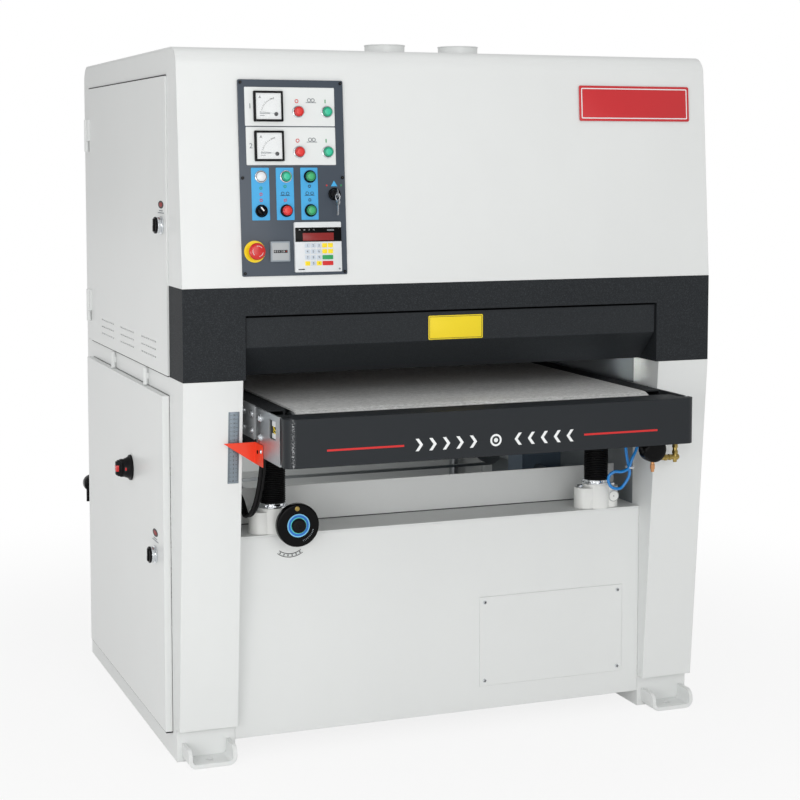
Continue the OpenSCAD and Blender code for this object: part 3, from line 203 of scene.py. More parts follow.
def makeWrinkle(name, base, crestHighlight, rough=0.5, scale=400, depth=0.0006):
    finish = Finish(name)
    crumple = finish.noise(scale, rough=0.6)
    cloud = finish.noise(3, detail=4)
    # crests of the crumple take the lighter colour: painted highlight standing for the paint's sparkle
    peaks = finish.ramp(crumple, [(0.5, 0), (0.68, 1)])
    finish.set(Base_Color=finish.mix(peaks * 0.6, finish.vary(cloud, base, 0.88, 1.1), crestHighlight),
               Roughness=rough + 0.14 - peaks * 0.2, Specular_IOR_Level=0.2)
    finish.bump(crumple, depth, edge=0.002)
    return finish


def makePlastic(name, base, rough=0.42, coat=0.0, scale=600, depth=0.00008, shine=0.5):
    finish = Finish(name)
    grain = finish.noise(scale)
    cloud = finish.noise(40)
    finish.set(Base_Color=finish.vary(cloud, base, 0.92, 1.06), Roughness=rough - 0.05 + cloud * 0.1,
               Coat_Weight=coat, Coat_Roughness=0.08, Specular_IOR_Level=shine)
    finish.bump(grain, depth, edge=0.0006)
    return finish


def makeMetal(name, base, rough=0.3, brush=(20, 20, 20), scale=40, drift=0.18):
    finish = Finish(name)
    lines = finish.noise(scale, detail=4, rough=0.6, stretch=brush)
    cloud = finish.noise(14, detail=4)
    finish.set(Base_Color=finish.vary(lines * 0.6 + cloud * 0.4, base, 1 - drift, 1 + drift * 0.4),
               Metallic=1.0, Roughness=rough - 0.08 + lines * 0.16)
    finish.bump(lines, depth=0.00006, edge=0.0008)
    return finish


def makeInk(name, base, rough=0.5):
    finish = Finish(name)
    grain = finish.noise(900, detail=2)
    finish.set(Base_Color=finish.vary(grain, base, 0.93, 1.04), Roughness=rough + grain * 0.08)
    return finish


whitePaint = makePaint("whitePaint", tone(232, 234, 233))
doorPaint = makePaint("doorPaint", tone(232, 234, 233), edge=0.0005)
castPaint = makePaint("castPaint", tone(236, 237, 234), rough=0.28, peel=240, depth=0.0003, drift=0.05,
                      coat=0.5, edge=0.003)
headPaint = makePaint("headPaint", tone(120, 126, 130), rough=0.45)
motorPaint = makePaint("motorPaint", tone(92, 108, 124), rough=0.42, peel=300, depth=0.0002)
pointerPaint = makePaint("pointerPaint", tone(240, 62, 24), rough=0.35, peel=500, depth=0.00008, drift=0.08)
gussetPaint = makePaint("gussetPaint", tone(150, 153, 155), rough=0.42, peel=400, depth=0.0001, drift=0.1)
plateGrey = makePaint("plateGrey", tone(62, 72, 84), rough=0.42, peel=700, depth=0.00006, drift=0.05,
                      coat=0.1)
plateWhite = makePaint("plateWhite", tone(232, 235, 234), rough=0.45, peel=700, depth=0.00004, drift=0.03,
                       coat=0.1)
stripBlue = makePaint("stripBlue", tone(62, 172, 230), rough=0.42, peel=700, depth=0.00004, coat=0.1)
redPlate = makePaint("redPlate", tone(206, 30, 38), rough=0.32, peel=500, depth=0.00006, coat=0.4)
# the second colour of each wrinkle finish is its painted highlight on the crests
bandWrinkle = makeWrinkle("bandWrinkle", tone(34, 37, 40), tone(64, 68, 72), scale=560, depth=0.0005)
flapWrinkle = makeWrinkle("flapWrinkle", tone(38, 41, 44), tone(62, 66, 70), rough=0.46, scale=700,
                          depth=0.0002)
tableWrinkle = makeWrinkle("tableWrinkle", tone(40, 42, 44), tone(66, 69, 72), scale=600, depth=0.0003)
blackPlastic = makePlastic("blackPlastic", tone(18, 18, 20), rough=0.4, shine=0.12)
glossBlack = makePlastic("glossBlack", tone(8, 8, 9), rough=0.2, shine=0.1)
greyPlastic = makePlastic("greyPlastic", tone(178, 182, 184), rough=0.45)
meterGrey = makePlastic("meterGrey", tone(150, 160, 168), rough=0.45)
paleCase = makePlastic("paleCase", tone(226, 229, 231))
yellowPlastic = makePlastic("yellowPlastic", tone(255, 224, 16), rough=0.35, coat=0.2)
# the lighter copies that follow each cap colour are painted highlight for the caps' centres
redCap = makePlastic("redCap", tone(206, 26, 24), rough=0.24, coat=0.2)
redCapHighlight = makePlastic("redCapHighlight", tone(228, 52, 46), rough=0.24, coat=0.2)
greenCap = makePlastic("greenCap", tone(16, 158, 120), rough=0.24, coat=0.2)
greenCapHighlight = makePlastic("greenCapHighlight", tone(52, 200, 160), rough=0.24, coat=0.2)
leafCap = makePlastic("leafCap", tone(30, 140, 84), rough=0.24, coat=0.2)
leafCapHighlight = makePlastic("leafCapHighlight", tone(58, 178, 112), rough=0.24, coat=0.2)
clearCap = makePlastic("clearCap", tone(232, 235, 238), rough=0.16, coat=0.6)
bowlAmber = makePlastic("bowlAmber", tone(206, 196, 158), rough=0.2, coat=0.4)
tubeBlue = makePlastic("tubeBlue", tone(8, 134, 216), rough=0.25, coat=0.3)
blackRubberAndGapShade = makePlastic("blackRubberAndGapShade", tone(13, 13, 14), rough=0.5, scale=260, depth=0.0002, shine=0.16)
steel = makeMetal("steel", tone(172, 175, 178), rough=0.32, brush=(1, 40, 40), scale=60)
zinc = makeMetal("zinc", tone(190, 193, 196), rough=0.34, brush=(30, 2, 30), drift=0.25)
ruleSteel = makeMetal("ruleSteel", tone(140, 150, 158), rough=0.42, brush=(40, 2, 40), drift=0.2)
chrome = makeMetal("chrome", tone(224, 227, 230), rough=0.12, scale=30, drift=0.06)
brass = makeMetal("brass", tone(168, 146, 84), drift=0.22)
copper = makeMetal("copper", tone(206, 150, 104), drift=0.15)
whiteInk = makeInk("whiteInk", tone(240, 242, 242))
blackPrintAndShade = makeInk("blackPrintAndShade", tone(30, 32, 34))
greyInk = makeInk("greyInk", tone(128, 134, 138))
paleInk = makeInk("paleInk", tone(206, 216, 226))
redInk = makeInk("redInk", tone(214, 34, 34))
darkRed = makeInk("darkRed", tone(150, 26, 24))
greenInk = makeInk("greenInk", tone(40, 160, 90))
yellowInk = makeInk("yellowInk", tone(255, 226, 30), rough=0.4)
ringMint = makeInk("ringMint", tone(96, 214, 206), rough=0.3)
ringBlue = makeInk("ringBlue", tone(24, 112, 206), rough=0.3)
ringPale = makeInk("ringPale", tone(132, 204, 240), rough=0.3)


def makeBarPaint():
    # smooth charcoal, rubbed bright where the left end starts to bend
    finish = Finish("barPaint")
    base = tone(30, 34, 38)
    bend, front = -0.5075, -0.83  # X of the bend, Y in front of which it is rubbed
    crumple = finish.noise(650, rough=0.6)
    cloud = finish.noise(4, detail=4)
    near = finish.add("Math", {"operation": "ABSOLUTE"}, {0: finish.axis("X") - bend})
    band = finish.ramp(near, [(0.0, 1), (0.0045, 0)])
    rub = finish.ramp(finish.noise(380, rough=0.7), [(0.5, 0), (0.6, 1)]) * band * (finish.axis("Y") < front)
    finish.set(Base_Color=finish.mix(rub, finish.vary(cloud, base, 0.9, 1.12), tone(196, 198, 200)),
               Roughness=0.44 - rub * 0.12 + crumple * 0.08, Metallic=rub * 0.6, Specular_IOR_Level=0.3)
    finish.bump(crumple, depth=0.00025, edge=0.003)
    return finish


def makeBeltCloth():
    # rough-top conveyor cloth: fine cross ribs, fibres and faint clouds
    finish = Finish("beltCloth")
    ribs = finish.add("TexWave", {"wave_type": "BANDS", "bands_direction": "Y"},
                      {"Vector": finish.here(), "Scale": 40, "Distortion": 3.0, "Detail": 3,
                       "Detail Scale": 18})
    fibre = finish.ramp(finish.noise(210, detail=5, rough=0.75, stretch=(0.45, 1, 1)), [(0.34, 0), (0.68, 1)])
    cloud = finish.noise(7, detail=4)
    mixed = ribs * 0.25 + fibre * 0.55 + cloud * 0.2
    finish.set(Base_Color=finish.mix(mixed, tone(138, 139, 138), tone(236, 237, 235)), Roughness=0.9,
               Sheen_Weight=0.15)
    finish.bump(fibre * 0.7 + ribs * 0.5, depth=0.0009)
    return finish


def makeGrit():
    finish = Finish("beltGrit")
    grains = finish.add("TexVoronoi", None, {"Vector": finish.here(), "Scale": 900}, "Distance")
    cloud = finish.noise(12, detail=4)
    mixed = grains * 0.7 + cloud * 0.3
    finish.set(Base_Color=finish.mix(mixed, tone(96, 52, 34), tone(176, 116, 82)), Roughness=0.85)
    finish.bump(grains, depth=0.0006)
    return finish


def makeGlass():
    finish = Finish("meterGlass")
    smear = finish.noise(60)
    finish.set(Base_Color=tone(240, 244, 246), Roughness=0.04 + smear * 0.03, Alpha=0.03 + smear * 0.02)
    return finish


def makeGlow(name, base, strength):
    finish = Finish(name)
    rows = finish.noise(500, detail=2)
    finish.set(Base_Color=base, Roughness=0.3, Emission_Color=finish.vary(rows, base, 0.7, 1),
               Emission_Strength=strength)
    return finish


def makeFastener():
    # white hinges and pegs on the left side, black screws on the panel, bare steel elsewhere
    finish = Finish("fastenerMix")
    leftSide, panelLow, panelFront = -0.7, 1.1, -0.5
    side = finish.axis("X") < leftSide
    high = (finish.axis("Z") > panelLow) * (finish.axis("Y") < panelFront) * (1 - side)
    cloud = finish.noise(60)
    metal = finish.mix(cloud, tone(150, 153, 156), tone(182, 185, 188))
    painted = finish.mix(side, metal, finish.mix(cloud, tone(222, 224, 223), tone(234, 236, 235)))
    finish.set(Base_Color=finish.mix(high, painted, tone(12, 12, 13)), Metallic=1 - side - high,
               Roughness=0.3 + side * 0.1)
    finish.bump(finish.noise(420, detail=2), depth=0.0001, edge=0.0008)
    return finish


barPaint = makeBarPaint()
fastenerMix = makeFastener()
beltCloth = makeBeltCloth()
beltGrit = makeGrit()
meterGlass = makeGlass()
redGlow = makeGlow("redGlow", tone(132, 22, 20), strength=0.12)
print("finishes made,", len(bpy.data.materials))

finishNodes = {
    whitePaint: ("base_frame", "base_panels", "post_covers", "foot_lugs", "hood", "dust_ports",
                 "drive_cover"),
    doorPaint: ("upper_door", "lower_door"),
    bandWrinkle: ("front_band",),
    flapWrinkle: ("infeed_guard",),
    tableWrinkle: ("table_bed",),
    barPaint: ("stop_bar",),
    headPaint: ("head_frame", "front_yoke", "rear_yoke"),
    castPaint: ("jack_housings",),
    motorPaint: ("motors", "feed_motor"),
    pointerPaint: ("height_pointer",),
    plateGrey: ("control_panel",),
    blackPlastic: ("panel_instruments", "air_filter", "air_regulator", "handwheel", "main_switch",
                   "selector"),
    blackRubberAndGapShade: ("drive_belts", "bellows", "table_cables", "front_drum", "rear_drum"),
    greyPlastic: ("electrics",),
    tubeBlue: ("air_tube",),
    fastenerMix: ("fasteners",),
    beltGrit: ("abrasive_belts",),
    beltCloth: ("feed_belt",),
    zinc: ("bar_brackets",),
    chrome: ("upper_lock", "lower_lock"),
    steel: ("lift_chain", "lift_screws", "drive_roller", "tail_roller", "left_lift_shaft", "right_lift_shaft",
            "front_tension_roller", "rear_tension_roller", "front_motor_pulley", "rear_motor_pulley",
            "panel_key"),
    redCap: ("mushroom", "head_one_stop", "head_two_stop", "feed_stop"),
    greenCap: ("head_one_start", "head_two_start", "feed_start"),
    leafCap: ("table_up", "table_down"),
}
for finish, names in finishNodes.items():
    for name in names:
        nodes[name].data.materials.clear()
        nodes[name].data.materials.append(finish.material)
print("CAD nodes painted")


# mesh building

def frameAt(origin, right, up):
    right, up = Vector(right).normalized(), Vector(up).normalized()
    out = right.cross(up)
    turn = Matrix((right, up, out)).transposed().to_4x4()
    return Matrix.Translation(origin) @ turn


def facing(point, direction):
    # own Z along the direction, own Y as upright as it can be
    out = Vector(direction).normalized()
    up = Vector((0, 1, 0)) if abs(out.z) > 0.9 else Vector((0, 0, 1))
    right = up.cross(out).normalized()
    return frameAt(point, right, out.cross(right))


def moved(at, *step):
    return at @ Matrix.Translation(step)


def turned(at, degrees):
    return at @ Matrix.Rotation(math.radians(degrees), 4, "Z")


def roundedBox(width, height, radius, steps=5):
    points = []
    for sideX, sideY, start in ((1, 1, 0), (-1, 1, 90), (-1, -1, 180), (1, -1, 270)):
        middleX, middleY = sideX * (width / 2 - radius), sideY * (height / 2 - radius)
        for step in range(steps + 1):
            angle = math.radians(start + 90 * step / steps)
            points.append((middleX + radius * math.cos(angle), middleY + radius * math.sin(angle)))
    return points


def oval(wide, tall, steps=36, centre=(0, 0)):
    angles = [2 * math.pi * i / steps for i in range(steps)]
    return [(centre[0] + wide * math.cos(a), centre[1] + tall * math.sin(a)) for a in angles]


def circle(radius, steps=32, centre=(0, 0)):
    return oval(radius, radius, steps, centre)


def bowPoints(radius, start, stop, step):
    # part of a circle, in whole degrees
    angles = [math.radians(a) for a in range(start, stop + 1, step)]
    return [(radius * math.cos(a), radius * math.sin(a)) for a in angles]


def raised(points, height):
    return [(x, y, height) for x, y in points]


def smoothWay(points, steps=6):
    # curve through the points, the same as the CAD source draws
    points = [Vector(p) for p in points]
    way = []
    last = len(points) - 1
    for i in range(last):
        a, b, c, d = points[max(i - 1, 0)], points[i], points[i + 1], points[min(i + 2, last)]
        for step in range(steps):
            t = step / steps
            bend = (2 * a - 5 * b + 4 * c - d) * t ** 2 + (3 * b - a - 3 * c + d) * t ** 3
            way.append((2 * b + (c - a) * t + bend) / 2)
    return way + [points[last]]


class Shape:
    tiny = 1e-9
    corner = 0.00002  # of a block without an edge

    def __init__(self, name):
        self.name = name
        self.mesh = bmesh.new()
        self.finishes = []

    def slot(self, finish):
        if finish not in self.finishes:
            self.finishes.append(finish)
        return self.finishes.index(finish)

    def place(self, faces, finish, at, smooth=False):
        points = {point for face in faces for point in face.verts}
        if at:
            bmesh.ops.transform(self.mesh, matrix=at, verts=list(points))
        for face in faces:
            face.material_index = self.slot(finish)
            face.smooth = smooth

    def ring(self, points, height):
        return [self.mesh.verts.new((x, y, height)) for x, y in points]

    def wall(self, below, above):
        count = len(below)
        return [self.mesh.faces.new((below[i], below[(i + 1) % count], above[(i + 1) % count], above[i]))
                for i in range(count)]

    def inset(self, points, by):
        # each point moved inwards along the mean of its two sides
        middle = Vector((sum(p[0] for p in points), sum(p[1] for p in points))) / len(points)
        count = len(points)
        made = []
        for i in range(count):
            before, here, after = (Vector(points[j % count]) for j in (i - 1, i, i + 1))
            one, two = here - before, after - here
            one = one.normalized() if one.length > self.tiny else two.normalized()
            two = two.normalized() if two.length > self.tiny else one
            side = Vector((-(one.y + two.y), one.x + two.x))
            side = side.normalized() if side.length > self.tiny else (middle - here).normalized()
            lean = max(0.5, side.dot(Vector((-one.y, one.x))))
            made.append(here + side * by / lean)
        return made

    def plate(self, outline, low, high, finish, at=None, edge=0.0, hole=None):
        # flat piece with the outline in its own X and Y, rounded along its upper edge;
        # a hole has as many points as the outline
        rings = [self.ring(outline, low), self.ring(outline, high - edge)]
        if edge:
            rings.append(self.ring(self.inset(outline, edge * 0.3), high - edge * 0.3))
            rings.append(self.ring(self.inset(outline, edge), high))
        faces = []
        for below, above in zip(rings, rings[1:]):
            faces += self.wall(below, above)
        if hole:
            inner = [self.ring(hole, low), self.ring(hole, high)]
            faces += self.wall(inner[1], inner[0])
            faces += self.wall(rings[-1], inner[1])
            faces += self.wall(inner[0], rings[0])
        else:
            faces.append(self.mesh.faces.new(rings[-1]))
            faces.append(self.mesh.faces.new(rings[0][::-1]))
        self.place(faces, finish, at)

    def block(self, low, high, finish, at=None, edge=0.0):
        width, height = high[0] - low[0], high[1] - low[1]
        middle = Matrix.Translation(((low[0] + high[0]) / 2, (low[1] + high[1]) / 2, 0))
        outline = roundedBox(width, height, max(edge, self.corner), steps=3)
        self.plate(outline, low[2], high[2], finish, (at or Matrix()) @ middle, edge)

    def lathe(self, profile, finish, at=None, steps=40):
        # profile of (radius, height), from its foot to its top, or closed where it ends as it starts
        rings = []
        for radius, height in profile:
            if radius < self.tiny:
                rings.append([self.mesh.verts.new((0, 0, height))])
            else:
                rings.append(self.ring(circle(radius, steps), height))
        if profile[0] == profile[-1]:
            for point in rings.pop():
                self.mesh.verts.remove(point)
            rings.append(rings[0])
        faces = []
        for below, above in zip(rings, rings[1:]):
            for i in range(steps):
                j = (i + 1) % steps
                around = ((below, i), (below, j), (above, j), (above, i))
                corners = [ring[k % len(ring)] for ring, k in around]
                corners = list(dict.fromkeys(corners))
                if len(corners) > 2:
                    faces.append(self.mesh.faces.new(corners))
        self.place(faces, finish, at, True)

    def tube(self, way, radius, finish, sides=10, closed=False, at=None):
        way = [Vector(p) for p in way]
        count = len(way)
        rings = []
        side = None
        for i, point in enumerate(way):
            before = way[i - 1] if i or closed else point
            after = way[(i + 1) % count] if i < count - 1 or closed else point
            along = (after - before).normalized()
            if side is None:
                side = along.orthogonal().normalized()
            side = (side - along * side.dot(along)).normalized()
            other = along.cross(side)
            rings.append([self.mesh.verts.new(point + side * x + other * y)
                          for x, y in circle(radius, sides)])
        faces = []
        for below, above in list(zip(rings, rings[1:])) + ([(rings[-1], rings[0])] if closed else []):
            faces += self.wall(below, above)
        if not closed:
            faces.append(self.mesh.faces.new(rings[0][::-1]))
            faces.append(self.mesh.faces.new(rings[-1]))
        self.place(faces, finish, at, True)

    def words(self, text, size, finish, at, depth=0.0001):
        letters = bpy.data.curves.new("letters", "FONT")
        letters.body = text
        letters.size = size
        letters.align_x, letters.align_y = "CENTER", "CENTER"
        letters.extrude = depth
        holder = bpy.data.objects.new("letters", letters)
        bpy.context.collection.objects.link(holder)
        flat = holder.evaluated_get(bpy.context.evaluated_depsgraph_get()).to_mesh()
        before = set(self.mesh.faces)
        self.mesh.from_mesh(flat)
        self.place([face for face in self.mesh.faces if face not in before], finish, at)
        holder.evaluated_get(bpy.context.evaluated_depsgraph_get()).to_mesh_clear()
        bpy.data.objects.remove(holder)
        bpy.data.curves.remove(letters)

    def done(self, body, slot, stands=(), fold=35):
        bmesh.ops.recalc_face_normals(self.mesh, faces=list(self.mesh.faces))
        data = bpy.data.meshes.new(self.name)
        self.mesh.to_mesh(data)
        self.mesh.free()
        for finish in self.finishes:
            data.materials.append(finish.material)
        data.set_sharp_from_angle(angle=math.radians(fold))
        piece = bpy.data.objects.new(self.name, data)
        bpy.context.collection.objects.link(piece)
        if body:
            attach(piece, body)
        if stands:
            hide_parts(*stands)
        return piece


# air tube and table cables, along the routes of the CAD source

airTube = {
    "from": (0.521, -0.6135, 0.7687),
    "way": [(-24, 55.5, -0.7), (-28, 57.5, -45), (-25, 57.5, -83), (-17.5, 55.5, -122), (-20, 55.5, -142),
            (-38, 57.5, -167), (-55, 57.5, -170), (-72, 55.5, -162), (-81, 51.5, -145), (-79, 46.5, -130),
            (-66, 42.5, -122), (-48, 40.5, -123), (-29, 39.5, -115), (-19, 39.5, -92), (-3, 39.5, -55),
            (-6, 39.5, -0.7)],
    "thick": 0.008, "sides": 14,
}
cables = {
    "from": (-0.555, -0.6135, 0.7687),
    "way": [(55, 23.5, -0.7), (53, 24.5, -48.7), (47, 27.5, -98.7), (39, 35.5, -140.7), (31, 51.5, -164.7),
            (25, 71.5, -170.7), (24, 89.5, -156.7), (21, 104.5, -136.7), (15, 112.5, -123.7),
            (8, 114.5, -119.7), (0.7, 114.5, -119.7)],
    "thick": 0.0086, "sides": 12,
    "apart": 0.0046, "stagger": 0.35,
}


def wayOf(piece, aside=(0, 0, 0)):
    # the steps of a way are in millimetres
    start = Vector(piece["from"]) + Vector(aside)
    return smoothWay([start + Vector(step) / 1000 for step in piece["way"]])


def lengthOf(way):
    return sum((b - a).length for a, b in zip(way, way[1:]))


tubeWay = wayOf(airTube)
tube = Shape("air_tube_blue")
tube.tube(tubeWay, airTube["thick"] / 2, tubeBlue, airTube["sides"])
tube = tube.done("table", "blue_tube", ["air_tube"])
lengthOf(tubeWay)

for name, side in (("table_cable_front", -1), ("table_cable_rear", 1)):
    aside = side * cables["apart"]
    way = wayOf(cables, (aside, aside * cables["stagger"], 0))
    if side < 0:
        way[-1].x += 2 * cables["apart"]  # both runs end in the wall
    cable = Shape(name)
    cable.tube(way, cables["thick"] / 2, blackRubberAndGapShade, cables["sides"])
    cable = cable.done(None, "belt_rubber", ["table_cables"])
    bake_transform(cable)
    lengthOf(way)
print("tube and cables laid")


# control panel on the leaning hood front

panel = {
    "left": -0.555, "width": 0.261, "height": 0.463, "low": 0.026, "foot": (-0.6129, 1.154),
    "lean": math.atan(41 / 563),  # the hood's front leans 41 mm over 563 mm
    "gap": 0.0003, "thick": 0.002, "corner": 0.004, "edge": 0.0005,
    "fit": 0.0026, "face": 0.0029,
}
leanSin, leanCos = math.sin(panel["lean"]), math.cos(panel["lean"])
plateTop = panel["gap"] + panel["thick"]


def onHood(x, up, out):
    y, z = panel["foot"]
    point = (x, y + up * leanSin - out * leanCos, z + up * leanCos + out * leanSin)
    return frameAt(point, (1, 0, 0), (0, leanSin, leanCos))


def onPanel(across, up, out=0.0):
    # across and up are shares of the panel's width and height
    return onHood(panel["left"] + across * panel["width"], panel["low"] + up * panel["height"], out)


def panelArea(shape, area, bottom, top, finish, edge=0.0, corner=0.002):
    left, right, low, high = area
    outline = roundedBox((right - left) * panel["width"], (high - low) * panel["height"], corner)
    shape.plate(outline, bottom, top, finish, onPanel((left + right) / 2, (low + high) / 2), edge)


plate = Shape("panel_plate")
plate.plate(roundedBox(panel["width"], panel["height"], panel["corner"]), panel["gap"], plateTop, plateGrey,
            onPanel(0.5, 0.5), panel["edge"])
plate.done("frame", "panel_plate", ["control_panel"])

printing = {
    "areas": {
        plateWhite: [(0.062, 0.915, 0.764, 0.962), (0.067, 0.916, 0.565, 0.759)],
        stripBlue: [(0.106, 0.274, 0.284, 0.552), (0.338, 0.506, 0.284, 0.552), (0.571, 0.736, 0.284, 0.552)],
    },
    "thick": 0.0003, "sink": 0.0001, "ink": 0.0002,
    "rows": (0.864, 0.662),
    "number": {"across": 0.112, "size": 0.017, "depth": 0.0003},
    "stop": {"across": 0.553, "rise": 0.028, "radii": (0.0046, 0.003)},
    "start": {"across": 0.826, "rise": 0.028, "half": (0.0012, 0.0042)},
    "belt": {"across": 0.69, "rise": 0.033, "apart": 0.0046, "radii": (0.0048, 0.0033),
             "bar": (0.013, -0.0062, -0.0050)},
    "dots": [(0.194, 0.448, greenInk), (0.194, 0.417, redInk), (0.194, 0.386, redInk),
             (0.422, 0.456, greenInk), (0.422, 0.386, redInk), (0.655, 0.456, blackPrintAndShade),
             (0.655, 0.386, blackPrintAndShade)],
    "dot": (0.0036, 0.0022),
    "feed": {"spots": [(0.422, 0.42), (0.655, 0.42)], "apart": 0.006, "radii": (0.004, 0.003),
             "bar": (0.012, -0.0052, -0.0042)},
    "arrow": {"spot": (0.892, 0.468), "outline": [(-0.0085, -0.006), (0.0085, -0.006), (0, 0.008)]},
    "lock": {"spots": [(0.82, 0.46, redInk), (0.96, 0.46, greenInk)], "half": (0.0015, 0.002)},
}
inkLow, inkHigh = plateTop, plateTop + printing["thick"] + printing["ink"]
prints = Shape("panel_prints")


def inkRing(at, radii, ink, steps=20):
    outer, inner = radii
    prints.plate(circle(outer, steps), inkLow, inkHigh, ink, at, hole=circle(inner, steps))


def inkBar(at, half, ink):
    wide, tall = half
    prints.block((-wide, -tall, inkLow), (wide, tall, inkHigh), ink, at)


def beltSign(at, sign, ink):
    # two loops on a bar
    for side in (-1, 1):
        inkRing(moved(at, side * sign["apart"], 0, 0), sign["radii"], ink)
    wide, low, high = sign["bar"]
    prints.block((-wide, low, inkLow), (wide, high, inkHigh), ink, at)


for finish, areas in printing["areas"].items():
    for area in areas:
        panelArea(prints, area, plateTop - printing["sink"], plateTop + printing["thick"], finish)
number, stop, start, belt = (printing[name] for name in ("number", "stop", "start", "belt"))
for row, up in enumerate(printing["rows"]):
    numberAt = onPanel(number["across"], up, inkHigh - printing["ink"])
    prints.words(str(row + 1), number["size"], greyInk, numberAt, number["depth"])
    inkRing(onPanel(stop["across"], up + stop["rise"]), stop["radii"], redInk, steps=24)
    inkBar(onPanel(start["across"], up + start["rise"]), start["half"], greenInk)
    beltSign(onPanel(belt["across"], up + belt["rise"]), belt, greyInk)
for across, up, ink in printing["dots"]:
    inkRing(onPanel(across, up), printing["dot"], ink)
for spot in printing["feed"]["spots"]:
    beltSign(onPanel(*spot), printing["feed"], blackPrintAndShade)
prints.plate(printing["arrow"]["outline"], inkLow, inkHigh, stripBlue, onPanel(*printing["arrow"]["spot"]))
for across, up, ink in printing["lock"]["spots"]:
    inkBar(onPanel(across, up), printing["lock"]["half"], ink)
prints.done("frame", "panel_plate")

controls = {
    "rings": {
        chrome: [(0.565, 0.838), (0.838, 0.838), (0.565, 0.632), (0.838, 0.632), (0.194, 0.506),
                 (0.430, 0.506)],
        glossBlack: [(0.430, 0.332), (0.660, 0.506), (0.660, 0.332), (0.194, 0.332), (0.892, 0.415)],
    },
    "ring": [(0.0118, 0), (0.015, 0), (0.015, 0.0032), (0.0146, 0.0042), (0.0137, 0.0049), (0.0125, 0.005),
             (0.0119, 0.0044), (0.0118, 0.003), (0.0118, 0)],
    # black ring just inside the chrome ring: painted shade for the gap round the cap
    "lip": [(0.0119, 0.0042), (0.0127, 0.0046), (0.0128, 0.0052), (0.0119, 0.0048), (0.0119, 0.0042)],
    "lamp": {"spot": (0.194, 0.506),
             "profile": [(0, 0), (0.0115, 0), (0.0115, 0.0066), (0.0108, 0.0086), (0.0085, 0.0102),
                         (0.0045, 0.011), (0, 0.0113)]},
    "collar": {"spot": (0.119, 0.126),
               "profile": [(0.0124, 0), (0.0253, 0), (0.0258, 0.0006), (0.0258, 0.0032), (0.0250, 0.004),
                           (0.0126, 0.004), (0.0123, 0.0036), (0.0124, 0)]},
    "cap": [(0, 0), (0.0112, 0), (0.0115, 0.0003), (0.0115, 0.0056), (0.0112, 0.0064), (0.0104, 0.0069),
            (0.0094, 0.007), (0.0088, 0.0066), (0.0086, 0.006), (0, 0.006)],
    "well": [(0, 0.0055), (0.0076, 0.0055), (0.0076, 0.0060), (0.0072, 0.0065), (0.004, 0.0068), (0, 0.0069)],
    "travel": 0.004,
}
rings = Shape("button_rings")
for finish, spots in controls["rings"].items():
    for spot in spots:
        rings.lathe(controls["ring"], finish, onPanel(*spot, panel["fit"]))
# a black ring inside each chrome ring, painted shade for the gap round the cap
for spot in controls["rings"][chrome]:
    rings.lathe(controls["lip"], blackPrintAndShade, onPanel(*spot, panel["fit"]))
for name, finish, steps in (("lamp", clearCap, 40), ("collar", yellowPlastic, 48)):
    rings.lathe(controls[name]["profile"], finish, onPanel(*controls[name]["spot"], panel["fit"]), steps)
rings.done("frame", "black_plastic")

caps = {
    "head_one_stop": ((0.565, 0.838), "red"), "head_one_start": ((0.838, 0.838), "green"),
    "head_two_stop": ((0.565, 0.632), "red"), "head_two_start": ((0.838, 0.632), "green"),
    "feed_start": ((0.430, 0.506), "green"), "feed_stop": ((0.430, 0.332), "red"),
    "table_up": ((0.660, 0.506), "leaf"), "table_down": ((0.660, 0.332), "leaf"),
}
capKinds = {
    "red": (redCap, redCapHighlight, "red_plastic"), "green": (greenCap, greenCapHighlight, "green_plastic"),
    "leaf": (leafCap, leafCapHighlight, "green_plastic"),
}
# each cap keeps its colour on the rim and a lighter copy on its raised centre, a painted highlight
for name, (spot, kind) in caps.items():
    rim, face, slotName = capKinds[kind]
    cap = Shape(name + "_cap")
    capAt = onPanel(*spot, panel["face"] + controls["travel"])
    cap.lathe(controls["cap"], rim, capAt)
    cap.lathe(controls["well"], face, capAt)
    cap.done(name, slotName, [name])

mushroomHead = {
    "spot": (0.119, 0.126),
    "profile": [(0, 0), (0.0115, 0), (0.012, 0.0004), (0.012, 0.013), (0.0165, 0.0138), (0.0194, 0.015),
                (0.02, 0.0175), (0.0199, 0.02), (0.0186, 0.0232), (0.0155, 0.025), (0.009, 0.0258),
                (0, 0.026)],
    "mark": {"radius": 0.0125, "high": 0.0254, "step": 0.14, "points": 9, "thick": 0.0005},
    "turns": (40, 160, 280),
}
mushroom = Shape("mushroom_head")
mushroomAt = onPanel(*mushroomHead["spot"], panel["face"] + controls["travel"])
mushroom.lathe(mushroomHead["profile"], redCap, mushroomAt, steps=56)
mark = mushroomHead["mark"]
markAngles = [mark["step"] * k for k in range(mark["points"])]
markWay = [(mark["radius"] * math.cos(a), mark["radius"] * math.sin(a), mark["high"]) for a in markAngles]
for turn in mushroomHead["turns"]:
    # turning marks round the head's top
    mushroom.tube(markWay, mark["thick"], whiteInk, sides=6, at=turned(mushroomAt, turn))
mushroom.done("mushroom", "red_plastic", ["mushroom"])

selector = {
    "spot": (0.194, 0.332), "turn": 40,
    "disc": [(0, 0), (0.0107, 0), (0.011, 0.0004), (0.011, 0.0066), (0.0105, 0.0075), (0.0092, 0.008),
             (0, 0.008)],
    "grip": ((-0.0038, -0.0108, 0.0078), (0.0038, 0.0108, 0.0206)), "gripEdge": 0.0018,
    "line": ((-0.0017, -0.001, 0.0204), (0.0017, 0.0102, 0.0210)), "lineEdge": 0.0002,
}
knob = Shape("selector_knob")
knobAt = onPanel(*selector["spot"], panel["face"])
knob.lathe(selector["disc"], glossBlack, knobAt)
gripAt = turned(knobAt, selector["turn"])
knob.block(*selector["grip"], glossBlack, gripAt, selector["gripEdge"])
knob.block(*selector["line"], whiteInk, gripAt, selector["lineEdge"])
knob.done("selector", "black_plastic", ["selector"])

